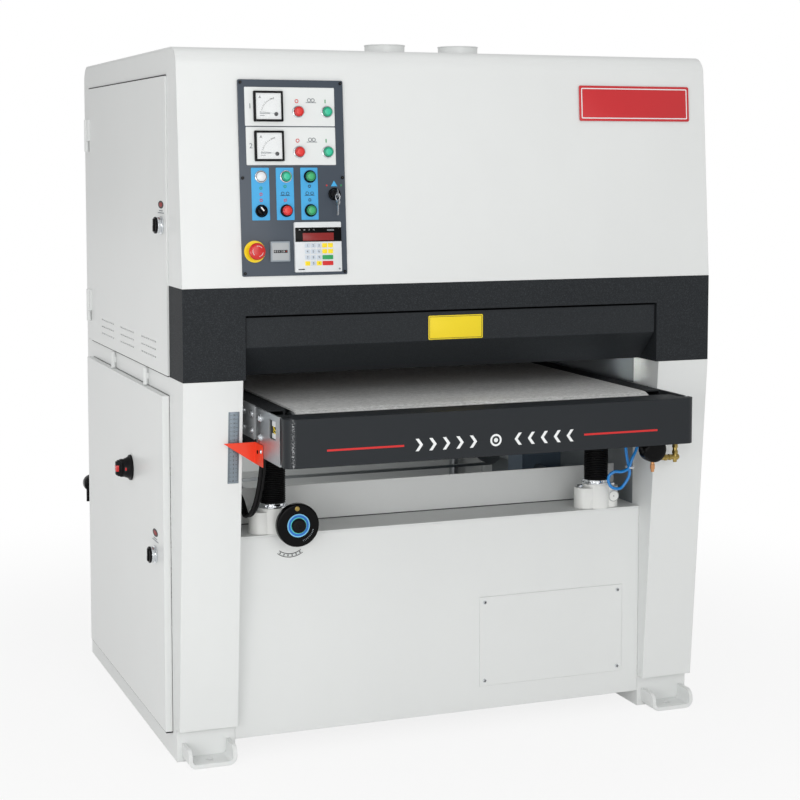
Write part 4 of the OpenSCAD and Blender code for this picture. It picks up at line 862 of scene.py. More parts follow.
panelKey = {
    "spot": (0.892, 0.415),
    "barrel": [(0, 0), (0.0098, 0), (0.01, 0.0003), (0.01, 0.0062), (0.0092, 0.007), (0.0055, 0.0072),
               (0.005, 0.0066), (0, 0.0066)],
    "blade": ((-0.0011, -0.0042, 0.006), (0.0011, 0.0042, 0.019)), "edge": 0.0003,
    "bow": {"out": 0.022, "wide": 0.011, "tall": 0.00748, "half": 0.0011, "steps": 28},
    "hole": {"up": 0.003, "radius": 0.0039},
}
key = Shape("key_and_lock")
keyAt = onPanel(*panelKey["spot"], panel["face"])
key.lathe(panelKey["barrel"], blackPlastic, keyAt)
key.block(*panelKey["blade"], steel, keyAt, panelKey["edge"])
keyBow, keyHole = panelKey["bow"], panelKey["hole"]
key.plate(oval(keyBow["wide"], keyBow["tall"], keyBow["steps"]), -keyBow["half"], keyBow["half"], steel,
          keyAt @ frameAt((0, 0, keyBow["out"]), (0, 1, 0), (0, 0, 1)), panelKey["edge"],
          circle(keyHole["radius"], keyBow["steps"], (0, keyHole["up"])))
key.done("panel_key", "steel", ["panel_key"])

# the ring hangs from the key's axis, so it stays down when the key turns
spareKey = {
    "ring": {"out": 0.025, "tall": 0.0085, "wide": 0.0052, "wire": 0.0007, "sway": 0.0005, "steps": 28},
    "at": (0, -0.0205, 0.0245), "turn": math.radians(62), "lean": 0.12,
    "bow": 0.0072, "hole": 0.0024, "holeUp": 0.004, "half": 0.0008, "edge": 0.0002,
    "blade": ((-0.0026, -0.031, -0.0008), (0.0026, -0.006, 0.0008)),
    "tooth": ((0.0024, -0.028, -0.0007), (0.0036, -0.025, 0.0007)), "teeth": 3, "pitch": 0.006,
}
spare = Shape("spare_key")
keyRing = spareKey["ring"]
ringWay = []
for k, (y, x) in enumerate(oval(keyRing["tall"], keyRing["wide"], keyRing["steps"])):
    sway = keyRing["sway"] * math.sin(4 * math.pi * k / keyRing["steps"])
    ringWay.append((x, y - keyRing["tall"], keyRing["out"] + sway))
spare.tube(ringWay, keyRing["wire"], chrome, sides=8, closed=True, at=keyAt)
spareRight = (math.cos(spareKey["turn"]), 0, math.sin(spareKey["turn"]))
spareAt = keyAt @ frameAt(spareKey["at"], spareRight, (0, 1, spareKey["lean"]))
spare.plate(circle(spareKey["bow"], steps=24), -spareKey["half"], spareKey["half"], steel, spareAt,
            spareKey["edge"], circle(spareKey["hole"], steps=24, centre=(0, spareKey["holeUp"])))
spare.block(*spareKey["blade"], steel, spareAt, spareKey["edge"])
for tooth in range(spareKey["teeth"]):
    spare.block(*spareKey["tooth"], steel, moved(spareAt, 0, tooth * spareKey["pitch"], 0))
spare.done("frame", "steel")
print("panel controls made")

meters = {
    "spots": [(0.281, 0.864), (0.281, 0.662)],
    "case": {"size": 0.072, "corner": 0.002, "deep": 0.007, "edge": 0.0012},
    "window": {"size": 0.062, "corner": 0.0008, "low": 0.001, "dial": 0.0046},
    "pane": {"size": 0.0616, "corner": 0.0008, "low": 0.0063, "high": 0.0068, "edge": 0.0003},
    "pivot": (0.0185, -0.0185), "reach": 0.036, "ink": (-0.0001, 0.0002),
    "tick": {"from": 98, "step": 7.4, "count": 11, "half": 0.0003, "long": 0.0042, "short": 0.0026},
    "arc": {"from": 98, "to": 172, "step": 5, "high": 0.0001, "thick": 0.00025},
    "thickArc": {"to": 113, "grow": 1.06, "thick": 0.0007},
    "needle": {"turn": 170, "box": ((0.004, -0.0002, 0.0006), (0.035, 0.0002, 0.0009))},
    "hub": [(0.0048, 0), (0.0048, 0.0012), (0.0042, 0.0016), (0, 0.0017)],
    "letter": {"text": "A", "size": 0.009, "at": (-0.0205, 0.021, 0.0001)},
    "lines": [(-0.0215, 0.004, -0.0176, -0.0155), (-0.0215, -0.010, -0.0225, -0.0212)],
}


def meterSquare(part):
    return roundedBox(part["size"], part["size"], part["corner"], steps=4)


dials = Shape("meters")
panes = Shape("meter_panes")
case, window, pane = meters["case"], meters["window"], meters["pane"]
tick, arc, thickArc, needle = (meters[name] for name in ("tick", "arc", "thickArc", "needle"))
reach, letter = meters["reach"], meters["letter"]
inkFoot, inkTop = meters["ink"]
for spot in meters["spots"]:
    at = onPanel(*spot, panel["fit"])
    dials.plate(meterSquare(case), 0, case["deep"], blackPlastic, at, case["edge"], meterSquare(window))
    dials.plate(meterSquare(window), window["low"], window["dial"], whiteInk, at)
    dial = moved(at, *meters["pivot"], window["dial"])
    for step in range(tick["count"]):
        long = tick["long"] if step % 5 == 0 else tick["short"]
        dials.block((reach, -tick["half"], inkFoot), (reach + long, tick["half"], inkTop), blackPrintAndShade,
                    turned(dial, tick["from"] + tick["step"] * step))
    for radius, last, thick in ((reach, arc["to"], arc["thick"]),
                                (reach * thickArc["grow"], thickArc["to"], thickArc["thick"])):
        arcWay = raised(bowPoints(radius, arc["from"], last, arc["step"]), arc["high"])
        dials.tube(arcWay, thick, blackPrintAndShade, sides=4, at=dial)
    dials.block(*needle["box"], greyInk, turned(dial, needle["turn"]))
    dials.lathe(meters["hub"], blackPrintAndShade, dial, steps=24)
    face = moved(at, 0, 0, window["dial"])
    dials.words(letter["text"], letter["size"], blackPrintAndShade, moved(face, *letter["at"]))
    for left, right, low, high in meters["lines"]:
        dials.block((left, low, inkFoot), (right, high, inkTop), greyInk, face)
    panes.plate(meterSquare(pane), pane["low"], pane["high"], meterGlass, at, pane["edge"])
dials.done("frame", "black_plastic", ["panel_instruments"])
panes.done("frame", "black_plastic")

hourMeter = {
    "spot": (0.354, 0.124),
    "case": {"size": 0.048, "corner": 0.0025, "low": 0, "high": 0.009, "edge": 0.0015},
    "face": {"size": 0.041, "corner": 0.002, "low": 0.0088, "high": 0.0094, "edge": 0.0003},
    "window": ((-0.017, -0.0035, 0.0092), (0.017, 0.0035, 0.0097)), "windowEdge": 0.0002,
    "digits": "001384", "from": -0.0135, "pitch": 0.0054, "size": 0.0058, "out": 0.0098,
}
hours = Shape("hour_meter")
hourAt = onPanel(*hourMeter["spot"], panel["fit"])
for part, finish in ((hourMeter["case"], meterGrey), (hourMeter["face"], greyPlastic)):
    hours.plate(roundedBox(part["size"], part["size"], part["corner"]), part["low"], part["high"], finish,
                hourAt, part["edge"])
hours.block(*hourMeter["window"], blackPrintAndShade, hourAt, hourMeter["windowEdge"])
for place, digit in enumerate(hourMeter["digits"]):
    last = place == len(hourMeter["digits"]) - 1
    digitAt = moved(hourAt, hourMeter["from"] + hourMeter["pitch"] * place, 0, hourMeter["out"])
    hours.words(digit, hourMeter["size"], redInk if last else whiteInk, digitAt)
hours.done("frame", "grey_plastic")

keypad = {
    "spot": (0.716, 0.144), "size": (0.117, 0.119), "corner": 0.003, "deep": 0.008, "edge": 0.0014,
    "screen": {"area": (0.497, 0.939, 0.171, 0.244), "low": -0.0003, "high": 0.0005, "edge": 0.0002,
               "corner": 0.0008},
    "display": {"area": (0.568, 0.864, 0.177, 0.216), "low": 0.0003, "high": 0.0008, "edge": 0.0002,
                "corner": 0.0006},
    "marks": [(left, left + 0.018, 0.231, 0.2335) for left in (0.53, 0.575, 0.62, 0.665)],
    "strip": (0.80, 0.87, 0.226, 0.2335), "ink": (0.0004, 0.0007),
    "left": 0.585, "right": 0.862, "low": 0.051, "high": 0.173, "drop": 0.002,
    "keys": ("123", "456", "789", "-0+"), "columns": 5, "wide": 0.86, "tall": 0.72,
    "key": {"low": -0.0002, "high": 0.0007, "edge": 0.0003, "corner": 0.0012},
    "sign": 0.0076, "signOut": 0.0008,
    "eye": {"spot": (0.915, 0.03), "radius": 0.0022, "low": -0.0002, "high": 0.0004},
    "footStrip": {"area": (0.52, 0.58, 0.028, 0.0315), "low": -0.0002, "high": 0.0003},
}
pad = Shape("thickness_controller")
pad.plate(roundedBox(*keypad["size"], keypad["corner"]), 0, keypad["deep"], paleCase,
          onPanel(*keypad["spot"], panel["fit"]), keypad["edge"])
padTop = panel["fit"] + keypad["deep"]


def padArea(area, part, finish):
    panelArea(pad, area, padTop + part["low"], padTop + part["high"], finish, part["edge"], part["corner"])


padArea(keypad["screen"]["area"], keypad["screen"], glossBlack)
padArea(keypad["display"]["area"], keypad["display"], redGlow)
for areas, finish in ((keypad["marks"], whiteInk), ([keypad["strip"]], greyInk)):
    for area in areas:
        panelArea(pad, area, *(padTop + level for level in keypad["ink"]), finish)
rows, columns = len(keypad["keys"]), keypad["columns"]
cell = (keypad["right"] - keypad["left"]) / columns
rise = (keypad["high"] - keypad["low"]) / rows
for row in range(rows):
    # a broad key ends each of the two lower rows
    broad = row > 1
    for column in range(columns - 1 if broad else columns):
        left = keypad["left"] + cell * column
        low = keypad["high"] - keypad["drop"] - rise * (row + 1)
        wide = cell * keypad["wide"]
        ink = paleInk if column < 3 else yellowInk
        if broad and column == 3:
            wide += cell
            ink = greenInk if row == 2 else redInk
        if row == rows - 1 and column in (0, 2):
            ink = yellowInk
        padArea((left, left + wide, low, low + rise * keypad["tall"]), keypad["key"], ink)
        if column < 3:
            signAt = onPanel(left + wide / 2, low + rise * keypad["tall"] / 2, padTop + keypad["signOut"])
            pad.words(keypad["keys"][row][column], keypad["sign"], blackPrintAndShade, signAt)
sensor, footStrip = keypad["eye"], keypad["footStrip"]
pad.plate(circle(sensor["radius"], steps=20), padTop + sensor["low"], padTop + sensor["high"], greyInk,
          onPanel(*sensor["spot"]))
panelArea(pad, footStrip["area"], padTop + footStrip["low"], padTop + footStrip["high"], greyInk)
pad.done("frame", "black_plastic")
print("panel instruments made")


# plain plates with a border

def borderedPlate(name, at, plate, slotName):
    wide, tall = plate["size"]
    sign = Shape(name)
    sign.plate(roundedBox(wide, tall, plate["corner"]), *plate["body"], plate["finish"], at, plate["edge"])
    outer, inner = (roundedBox(wide - inset, tall - inset, corner)
                    for inset, corner in zip(plate["insets"], plate["corners"]))
    sign.plate(outer, *plate["border"], plate["ink"], at, hole=inner)
    sign.done("frame", slotName)


redSign = {
    "middle": (0.4945, 0.4425), "size": (0.315, 0.089), "corner": 0.004, "edge": 0.0005, "finish": redPlate,
    "body": (0.0003, 0.0014), "border": (0.0012, 0.0017), "ink": whiteInk,
    "insets": (0.012, 0.017), "corners": (0.003, 0.002),
}
borderedPlate("red_plate", onHood(*redSign["middle"], 0), redSign, "red_plastic")


# screws and bolts, each with its foot at the face that carries it

def socketScrew(shape, at, radius, high, finish):
    shape.lathe([(0, 0), (radius, 0), (radius, high * 0.7), (radius * 0.9, high), (radius * 0.52, high),
                 (radius * 0.5, high * 0.45), (0, high * 0.45)], finish, at, steps=24)


def hexBolt(shape, at, radius, high, finish):
    washer, foot = 0.0012, 0.001
    shape.lathe([(0, 0), (radius * 1.25, 0), (radius * 1.25, washer), (0, washer)], finish, at, steps=28)
    shape.plate(circle(radius, steps=6), foot, high, finish, at, high * 0.22)


def panScrew(shape, at, radius, high, finish):
    shape.lathe([(0, 0), (radius, 0), (radius * 0.97, high * 0.4), (radius * 0.75, high * 0.85),
                 (radius * 0.35, high), (0, high)], finish, at, steps=24)
    for turn in (20, 110):
        shape.block((-radius * 0.62, -radius * 0.2, high * 0.8), (radius * 0.62, radius * 0.2, high * 1.03),
                    blackPrintAndShade, turned(at, turn))


def domeBolt(shape, at, radius, high, finish):
    rim, washer = 0.0008, 0.0012
    shape.lathe([(0, 0), (radius * 1.3, 0), (radius * 1.3, rim), (radius * 1.25, washer), (radius, washer),
                 (radius, high * 0.62), (radius * 0.82, high * 0.87), (radius * 0.42, high * 0.98),
                 (0, high)], finish, at, steps=28)


panelScrews = {"across": (0.025, 0.975), "up": (0.985, 0.5, 0.015), "sink": 0.0005, "size": (0.0037, 0.0026)}
access = {"x": (0.110, 0.492), "z": (0.1155, 0.3205), "y": -0.5198, "size": (0.0054, 0.0034)}
cover = {
    "x": 0.7112, "y": (-0.4865, -0.25, 0, 0.22, 0.4435), "z": (0.069, 0.40, 0.80, 1.20, 1.659),
    "size": (0.0048, 0.0007),
}
jacks = {
    "x": 0.445, "y": 0.4825, "top": 0.5953, "bolt": 0.047, "boltSize": (0.0084, 0.0066),
    "cap": {"aside": 0.036, "y": 0.5155, "z": 0.571, "ring": (0.0142, 0.0132), "dot": 0.0014, "ink": 0.0003},
    "ring": 0.604,
    "clamp": [(0.0309, 0.0003), (0.0376, 0.0003), (0.0378, 0.0006), (0.0378, 0.003), (0.0372, 0.0036),
              (0.0322, 0.0036), (0.0322, 0.0098), (0.0316, 0.0106), (0.0309, 0.0106), (0.0309, 0.0003)],
    "clampBolt": (0.035, 0, 0.0034), "clampSize": (0.0024, 0.0042), "clampTurns": (45, 135, 225, 315),
    "low": 0.6043, "high": 0.7278, "bore": 0.027, "cuff": 0.0306, "cuffHigh": 0.0128,
    "ribs": (0.0135, 0.008), "folds": 22, "crest": 0.032, "valley": 0.0292, "lip": 0.001, "lipFoot": 0.0008,
    "fold": [(0.0, 0.0), (0.24, 0.6), (0.42, 1.0), (0.58, 1.0), (0.76, 0.6)],  # shares of pitch and depth
}
feet = [(sideX * jacks["x"], sideY * jacks["y"]) for sideX in (-1, 1) for sideY in (-1, 1)]

bolts = Shape("screws_and_bolts")
for up in panelScrews["up"]:
    for across in panelScrews["across"]:
        screwAt = onPanel(across, up, panel["face"] - panelScrews["sink"])
        socketScrew(bolts, screwAt, *panelScrews["size"], glossBlack)
for x in access["x"]:
    for z in access["z"]:
        panScrew(bolts, facing((x, access["y"], z), (0, -1, 0)), *access["size"], chrome)
for y in cover["y"]:
    for z in cover["z"]:
        if y in (cover["y"][0], cover["y"][-1]) or z in (cover["z"][0], cover["z"][-1]):
            panScrew(bolts, facing((cover["x"], y, z), (1, 0, 0)), *cover["size"], steel)
for x, y in feet:
    for side in (-1, 1):
        boltAt = Matrix.Translation((x + side * jacks["bolt"], y, jacks["top"]))
        hexBolt(bolts, boltAt, *jacks["boltSize"], chrome)
jackCap = jacks["cap"]
for x, side in ((jacks["x"], -1), (-jacks["x"], 1), (jacks["x"], 1)):
    # the front left cap is behind the handwheel
    capAt = facing((x + jackCap["aside"], side * jackCap["y"], jackCap["z"]), (0, side, 0))
    outer, inner = (circle(radius, steps=40) for radius in jackCap["ring"])
    bolts.plate(outer, 0, jackCap["ink"], greyInk, capAt, hole=inner)
    bolts.plate(circle(jackCap["dot"], steps=16), 0, jackCap["ink"], blackPrintAndShade, capAt)
bolts.done("frame", "steel")

clamps = Shape("bellows_clamps")
for x, y in feet:
    clampAt = Matrix.Translation((x, y, jacks["ring"]))
    clamps.lathe(jacks["clamp"], chrome, clampAt, steps=44)
    for turn in jacks["clampTurns"]:
        hexBolt(clamps, moved(turned(clampAt, turn), *jacks["clampBolt"]), *jacks["clampSize"], chrome)
clamps.done("frame", "chrome")

low, high, cuff, valley = (jacks[name] for name in ("low", "high", "cuff", "valley"))
ribLow, ribHigh = low + jacks["ribs"][0], high - jacks["ribs"][1]
pitch = (ribHigh - ribLow) / jacks["folds"]
sleeve = [(jacks["bore"], low), (cuff, low), (cuff, low + jacks["cuffHigh"])]
for fold in range(jacks["folds"]):
    sleeve += [(valley + (jacks["crest"] - valley) * out, ribLow + pitch * (fold + share))
               for share, out in jacks["fold"]]
lip = cuff + jacks["lip"]
sleeve += [(valley, ribHigh), (lip, ribHigh + jacks["lipFoot"]), (lip, high), (jacks["bore"], high),
           sleeve[0]]
rubber = Shape("bellows_rubber")
for x, y in feet:
    rubber.lathe(sleeve, blackRubberAndGapShade, Matrix.Translation((x, y, 0)))
rubber = rubber.done(None, "belt_rubber", ["bellows"], fold=60)
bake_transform(rubber)

wheel = {
    "at": (-0.409, -0.5575, 0.571),
    "disc": [(0, 0), (0.0495, 0), (0.0522, 0.0012), (0.053, 0.0035), (0.053, 0.0182), (0.0523, 0.0206),
             (0.0503, 0.0218), (0.0475, 0.022), (0.0294, 0.0215), (0.029, 0.0205), (0, 0.0205)],
    "hub": [(0, 0.02), (0.0176, 0.02), (0.0176, 0.0275), (0.0168, 0.03), (0.015, 0.0314), (0.012, 0.032),
            (0.0055, 0.032), (0.005, 0.031), (0, 0.031)],
    "rings": [(0.0182, 0.0205, ringMint), (0.0205, 0.0258, ringBlue), (0.0258, 0.0284, ringPale)],
    "ringLow": 0.0204, "ringHigh": 0.0224,
    "dot": [(0, 0), (0.0058, 0), (0.0058, 0.0006), (0.0052, 0.001), (0.0034, 0.001), (0.003, 0.0004),
            (0, 0.0004)],
    "dotAt": (-0.003, 0.0415, 0.0218),
    "ticks": range(-72, -14, 6), "tick": ((0.0375, -0.0003, 0.0216), (0.0405, 0.0003, 0.022)),
}
wheelAt = facing(wheel["at"], (0, -1, 0))
disc = Shape("handwheel_disc")
disc.lathe(wheel["disc"], glossBlack, wheelAt, steps=72)
disc.lathe(wheel["hub"], blackPlastic, wheelAt)
low, high = wheel["ringLow"], wheel["ringHigh"]
for inner, outer, finish in wheel["rings"]:
    disc.lathe([(inner, low), (outer, low), (outer, high), (inner, high), (inner, low)], finish, wheelAt,
               steps=60)
disc.lathe(wheel["dot"], brass, moved(wheelAt, *wheel["dotAt"]), steps=28)
for angle in wheel["ticks"]:
    disc.block(*wheel["tick"], paleInk, turned(wheelAt, angle))
disc.done("left_lift", "black_plastic", ["handwheel"])

rimScale = {
    "at": (-0.411, -0.5175, 0.536), "inner": 0.0465, "outer": 0.055, "from": 233, "to": 305, "step": 6,
    "low": 0.0001, "high": 0.0005, "border": 0.0008,
    "bar": {"half": 0.0012, "short": 0.002, "low": 0.0004, "high": 0.0008, "step": 12},
}
rimAt = facing(rimScale["at"], (0, -1, 0))
outer, inner = (bowPoints(rimScale[name], rimScale["from"], rimScale["to"], rimScale["step"])
                for name in ("outer", "inner"))
label = Shape("handwheel_scale")
label.plate(outer + inner[::-1], rimScale["low"], rimScale["high"], plateWhite, rimAt)
for points in (outer, inner):
    label.tube(raised(points, rimScale["high"]), rimScale["border"], blackPrintAndShade, sides=6, at=rimAt)
rimBar = rimScale["bar"]
for angle in range(rimScale["from"] + rimScale["step"], rimScale["to"], rimBar["step"]):
    label.block((rimScale["inner"] + rimBar["short"], -rimBar["half"], rimBar["low"]),
                (rimScale["outer"] - rimBar["short"], rimBar["half"], rimBar["high"]),
                blackPrintAndShade, turned(rimAt, angle))
label.done("frame", "panel_plate")
print("jacks and handwheel dressed")


# conveyor table and guard: bar marks, yellow plate, side plates, connectors, steel scale

bar = {
    "y": -0.8525, "z": 0.798, "lines": [(-0.428, -0.241), (0.221, 0.420)], "tall": 0.0046, "ink": 0.0002,
    "marks": (-0.2126, 0.1927), "high": 0.0145, "step": 0.034, "count": 5,
    "chevron": (0.008, 0.0185, 0.0105),  # upper end, outer tip and inner tip
    "hole": 0.68, "dot": 0.36,  # shares of the ring
}
barFace = facing((0, bar["y"], bar["z"]), (0, -1, 0))
ink, high = bar["ink"], bar["high"]
barInk = Shape("bar_marks")
for left, right in bar["lines"]:
    barInk.block((left, -bar["tall"] / 2, -ink), (right, bar["tall"] / 2, ink), redInk, barFace)
end, tip, notch = bar["chevron"]
chevron = [(0, -high), (end, -high), (tip, 0), (end, high), (0, high), (notch, 0)]
for index in range(bar["count"]):
    for start, side in zip(bar["marks"], (1, -1)):
        outline = [(start + side * (bar["step"] * index + x), y) for x, y in chevron]
        barInk.plate(outline[::side], -ink, ink, whiteInk, barFace)
middle = moved(barFace, sum(bar["marks"]) / 2, 0, 0)
barInk.plate(circle(high, steps=40), -ink, ink, whiteInk, middle, hole=circle(high * bar["hole"], steps=40))
barInk.plate(circle(high * bar["dot"], steps=24), -ink, ink, whiteInk, middle)
barInk.done("stop_bar", "panel_plate")

yellowSign = {
    "middle": (-0.0095, -0.6065, 1.043), "size": (0.145, 0.059), "corner": 0.003, "edge": 0.0002,
    "finish": yellowInk, "body": (0.0001, 0.0007), "border": (0.0006, 0.0009), "ink": blackPrintAndShade,
    "insets": (0.005, 0.007), "corners": (0.002, 0.0015),
}
borderedPlate("yellow_plate", facing(yellowSign["middle"], (0, -1, 0)), yellowSign, "panel_plate")

gusset = {
    "x": 0.5212, "y": -0.5555, "z": 0.83195,
    "size": (0.1106, 0.0805), "thick": 0.0059, "corner": 0.003, "edge": 0.0008,
    "boltY": (-0.5885, -0.5225), "boltZ": (0.812, 0.852),
}
plateBolts = {
    "x": 0.5253, "y": -0.6513, "z": (0.8492, 0.8036), "size": (0.0076, 0.0062),
    "screw": (-0.5276, -0.664, 0.772), "screwSize": (0.005, 0.003),
    "eyelet": [(0, 0), (0.0048, 0), (0.0048, 0.0008), (0.004, 0.0012), (0.0028, 0.0012),
               (0.0026, 0.0004), (0, 0.0004)],
    "eyeletAt": (-0.5276, -0.636, 0.767),
}
sides = Shape("side_plates")
heads = Shape("bracket_screws")
for side in (-1, 1):
    out = (side, 0, 0)
    sides.plate(roundedBox(*gusset["size"], gusset["corner"]), 0, gusset["thick"], gussetPaint,
                facing((side * gusset["x"], gusset["y"], gusset["z"]), out), gusset["edge"])
    for y in gusset["boltY"]:
        for z in gusset["boltZ"]:
            place = (side * (gusset["x"] + gusset["thick"]), y, z)
            domeBolt(sides, facing(place, out), *plateBolts["size"], chrome)
    for z in plateBolts["z"]:
        place = (side * plateBolts["x"], plateBolts["y"], z)
        domeBolt(heads, facing(place, out), *plateBolts["size"], chrome)
sides.done("table", "zinc")
panScrew(heads, facing(plateBolts["screw"], (-1, 0, 0)), *plateBolts["screwSize"], chrome)
heads.lathe(plateBolts["eyelet"], glossBlack, facing(plateBolts["eyeletAt"], (-1, 0, 0)), steps=24)
heads.done("table", "chrome")

plugs = {
    "at": (-0.5224, -0.7575, 0.8355),
    "back": ((-0.0235, -0.0212, -0.012), (0.0235, 0.0212, -0.008)), "backEdge": 0.0008,
    "blocks": (((-0.021, 0.0075, -0.009), (0.021, 0.0205, 0)),
               ((-0.021, -0.0205, -0.009), (0.021, -0.0085, 0))),
    "blockEdge": 0.0012,
    "way": [(-0.022, 0.0075, -0.005), (-0.010, 0.0055, -0.001), (0.001, 0.0010, 0), (0.012, 0.0000, -0.002),
            (0.022, 0.0030, -0.006)],
    "wires": ((yellowPlastic, 0.0), (blackRubberAndGapShade, 0.0036), (yellowPlastic, 0.0070)), "wire": 0.0014,
}
connectors = Shape("switch_connectors")
plugsAt = facing(plugs["at"], (-1, 0, 0))
connectors.block(*plugs["back"], blackPlastic, plugsAt, plugs["backEdge"])
for box in plugs["blocks"]:
    connectors.block(*box, paleCase, plugsAt, plugs["blockEdge"])
for finish, drop in plugs["wires"]:
    connectors.tube(smoothWay(plugs["way"]), plugs["wire"], finish, sides=8, at=moved(plugsAt, 0, -drop, 0))
connectors.done("table", "white_paint")

rule = {
    "x": (-0.590, -0.563), "z": (0.688, 0.861), "slope": 0.0797, "from": (-0.5455, 0.081),
    "low": 0.0002, "thick": 0.001, "corner": 0.001, "edge": 0.0003,
    "margin": 0.006, "pitch": 0.002, "spare": 3, "long": 0.0085, "short": 0.0045, "side": 0.0008,
    "tick": 0.0003, "ink": 0.0001, "number": 0.0072,
}
ruleLean = math.atan(rule["slope"])
ruleX, ruleZ = sum(rule["x"]) / 2, sum(rule["z"]) / 2
ruleY = rule["from"][0] - (ruleZ - rule["from"][1]) * rule["slope"]
ruleAt = frameAt((ruleX, ruleY, ruleZ), (1, 0, 0), (0, -math.sin(ruleLean), math.cos(ruleLean)))
ruleWide, ruleTall = rule["x"][1] - rule["x"][0], (rule["z"][1] - rule["z"][0]) / math.cos(ruleLean)
scale = Shape("steel_scale")
scale.plate(roundedBox(ruleWide, ruleTall, rule["corner"]), rule["low"], rule["thick"], ruleSteel, ruleAt,
            rule["edge"])
inkFoot, inkTop = rule["thick"] - rule["ink"], rule["thick"] + rule["ink"]
outer = ruleWide / 2 - rule["side"]
for step in range(int(ruleTall / rule["pitch"]) - rule["spare"] + 1):
    up = -ruleTall / 2 + rule["margin"] + rule["pitch"] * step
    inner = ruleWide / 2 - (rule["short"] if step % 5 else rule["long"])
    for left, right in ((-outer, -inner), (inner, outer)):
        scale.block((left, up - rule["tick"], inkFoot), (right, up + rule["tick"], inkTop), blackPrintAndShade, ruleAt)
    if step % 5 == 0:
        scale.words(str(step // 5), rule["number"], blackPrintAndShade, moved(ruleAt, 0, up, rule["thick"]))
scale.done("frame", "steel")
print("table dressed")


# left side: locks, marks and main switch; own Z runs away from the doors

def offDoor(x, y, z):
    return frameAt((x, y, z), (0, -1, 0), (0, 0, 1))


doorLock = {
    "places": {"upper_lock": (-0.7043, -0.4345, 1.297), "lower_lock": (-0.7183, -0.3935, 0.487)},
    "plate": [(0, 0), (0.0218, 0), (0.022, 0.0004), (0.022, 0.0024), (0.0212, 0.0032), (0.0165, 0.0034),
              (0.0162, 0.0042), (0.0162, 0.0062), (0, 0.0062)],
    "barrel": [(0, 0.006), (0.0192, 0.006), (0.0198, 0.0068), (0.0198, 0.0120), (0.0192, 0.0128),
               (0, 0.0128)],
    "cap": [(0, 0.0126), (0.0188, 0.0126), (0.0196, 0.0136), (0.0196, 0.0172), (0.0186, 0.0184),
            (0.016, 0.0186), (0.0156, 0.0178), (0, 0.0178)],
    "ribs": 18, "rib": ((0.0190, -0.0009, 0.0132), (0.0201, 0.0009, 0.0176)), "ribEdge": 0.0002,
    "grip": ((-0.004, -0.0152, 0.0176), (0.004, 0.0152, 0.0218)), "gripEdge": 0.0012,
    "line": ((-0.0007, -0.002, 0.0216), (0.0007, 0.0138, 0.022)),
}
for name, place in doorLock["places"].items():
    lock = Shape(name + "_knob")
    lockAt = offDoor(*place)
    for part, finish in (("plate", chrome), ("barrel", chrome), ("cap", glossBlack)):
        lock.lathe(doorLock[part], finish, lockAt, steps=48)
    for rib in range(doorLock["ribs"]):
        ribAt = turned(lockAt, 360 * rib / doorLock["ribs"])
        lock.block(*doorLock["rib"], blackPlastic, ribAt, doorLock["ribEdge"])
    lock.block(*doorLock["grip"], glossBlack, lockAt, doorLock["gripEdge"])
    lock.block(*doorLock["line"], whiteInk, lockAt)
    lock.done(name, "chrome", [name])

doorMarks = {
    "places": {"upper_door": (-0.704, -0.428, 1.346), "lower_door": (-0.718, -0.3915, 0.540)},
    "rim": (0.0262, 0.0094), "rimHole": (0.0170, 0.0058), "rimHigh": 0.0006, "rimEdge": 0.0002,
    "face": (0.0171, 0.0059), "faceHigh": 0.0005, "faceEdge": 0.0001,
    "rows": ((-0.0145, 0.018), (-0.0198, 0.031)), "rowHalf": 0.0012, "rowHigh": 0.0003,
}
for name, place in doorMarks["places"].items():
    mark = Shape(name + "_mark")
    markAt = offDoor(*place)
    mark.plate(oval(*doorMarks["rim"]), 0, doorMarks["rimHigh"], blackPrintAndShade, markAt, doorMarks["rimEdge"],
               oval(*doorMarks["rimHole"]))
    mark.plate(oval(*doorMarks["face"]), 0, doorMarks["faceHigh"], darkRed, markAt, doorMarks["faceEdge"])
    rowHalf, rowHigh = doorMarks["rowHalf"], doorMarks["rowHigh"]
    for row, half in doorMarks["rows"]:
        mark.block((-half, row - rowHalf, 0), (half, row + rowHalf, rowHigh), greyInk, markAt)
    mark.done(name, "red_plastic")

turnSwitch = {
    "at": (-0.7183, -0.1255, 0.659),
    "base": [(0, 0), (0.0326, 0), (0.033, 0.0005), (0.033, 0.0038), (0.032, 0.0052), (0.0296, 0.006),
             (0.0288, 0.0072), (0.0262, 0.0115), (0.0258, 0.0125), (0.0252, 0.0150), (0.0226, 0.0205),
             (0.0205, 0.0235), (0, 0.024)],
    "grip": [(0.0075, 0.0228, 0.020, 0.0300), (0.0077, 0.0205, 0.0290, 0.0365),
             (0.0073, 0.0176, 0.0355, 0.0404)],
    "gripEdge": 0.0022,
    "button": ((-0.0081, -0.0082, 0.0330), (0.0081, 0.0082, 0.0410)), "buttonEdge": 0.0016,
    "ribs": 16, "ribFrom": 11, "ribEdge": 0.0005,
    "rib": ((0.0248, -0.0018, 0.0072), (0.0272, 0.0018, 0.0112)),
    "window": ((0.0205, -0.0058, 0.0150), (0.0242, 0.0058, 0.0215)), "windowEdge": 0.0006,
    "flag": ((0.0235, -0.0036, 0.0164), (0.0246, 0.0036, 0.0202)), "flagEdge": 0.0004,
}
switch = Shape("main_switch_knob")
switchAt = offDoor(*turnSwitch["at"])
switch.lathe(turnSwitch["base"], blackPlastic, switchAt, steps=56)
for wide, long, low, high in turnSwitch["grip"]:
    switch.block((-wide, -long, low), (wide, long, high), blackPlastic, switchAt, turnSwitch["gripEdge"])
switch.block(*turnSwitch["button"], redCap, switchAt, turnSwitch["buttonEdge"])
for rib in range(turnSwitch["ribs"]):
    ribAt = turned(switchAt, turnSwitch["ribFrom"] + 360 * rib / turnSwitch["ribs"])
    switch.block(*turnSwitch["rib"], blackPlastic, ribAt, turnSwitch["ribEdge"])
switch.block(*turnSwitch["window"], blackPrintAndShade, switchAt, turnSwitch["windowEdge"])
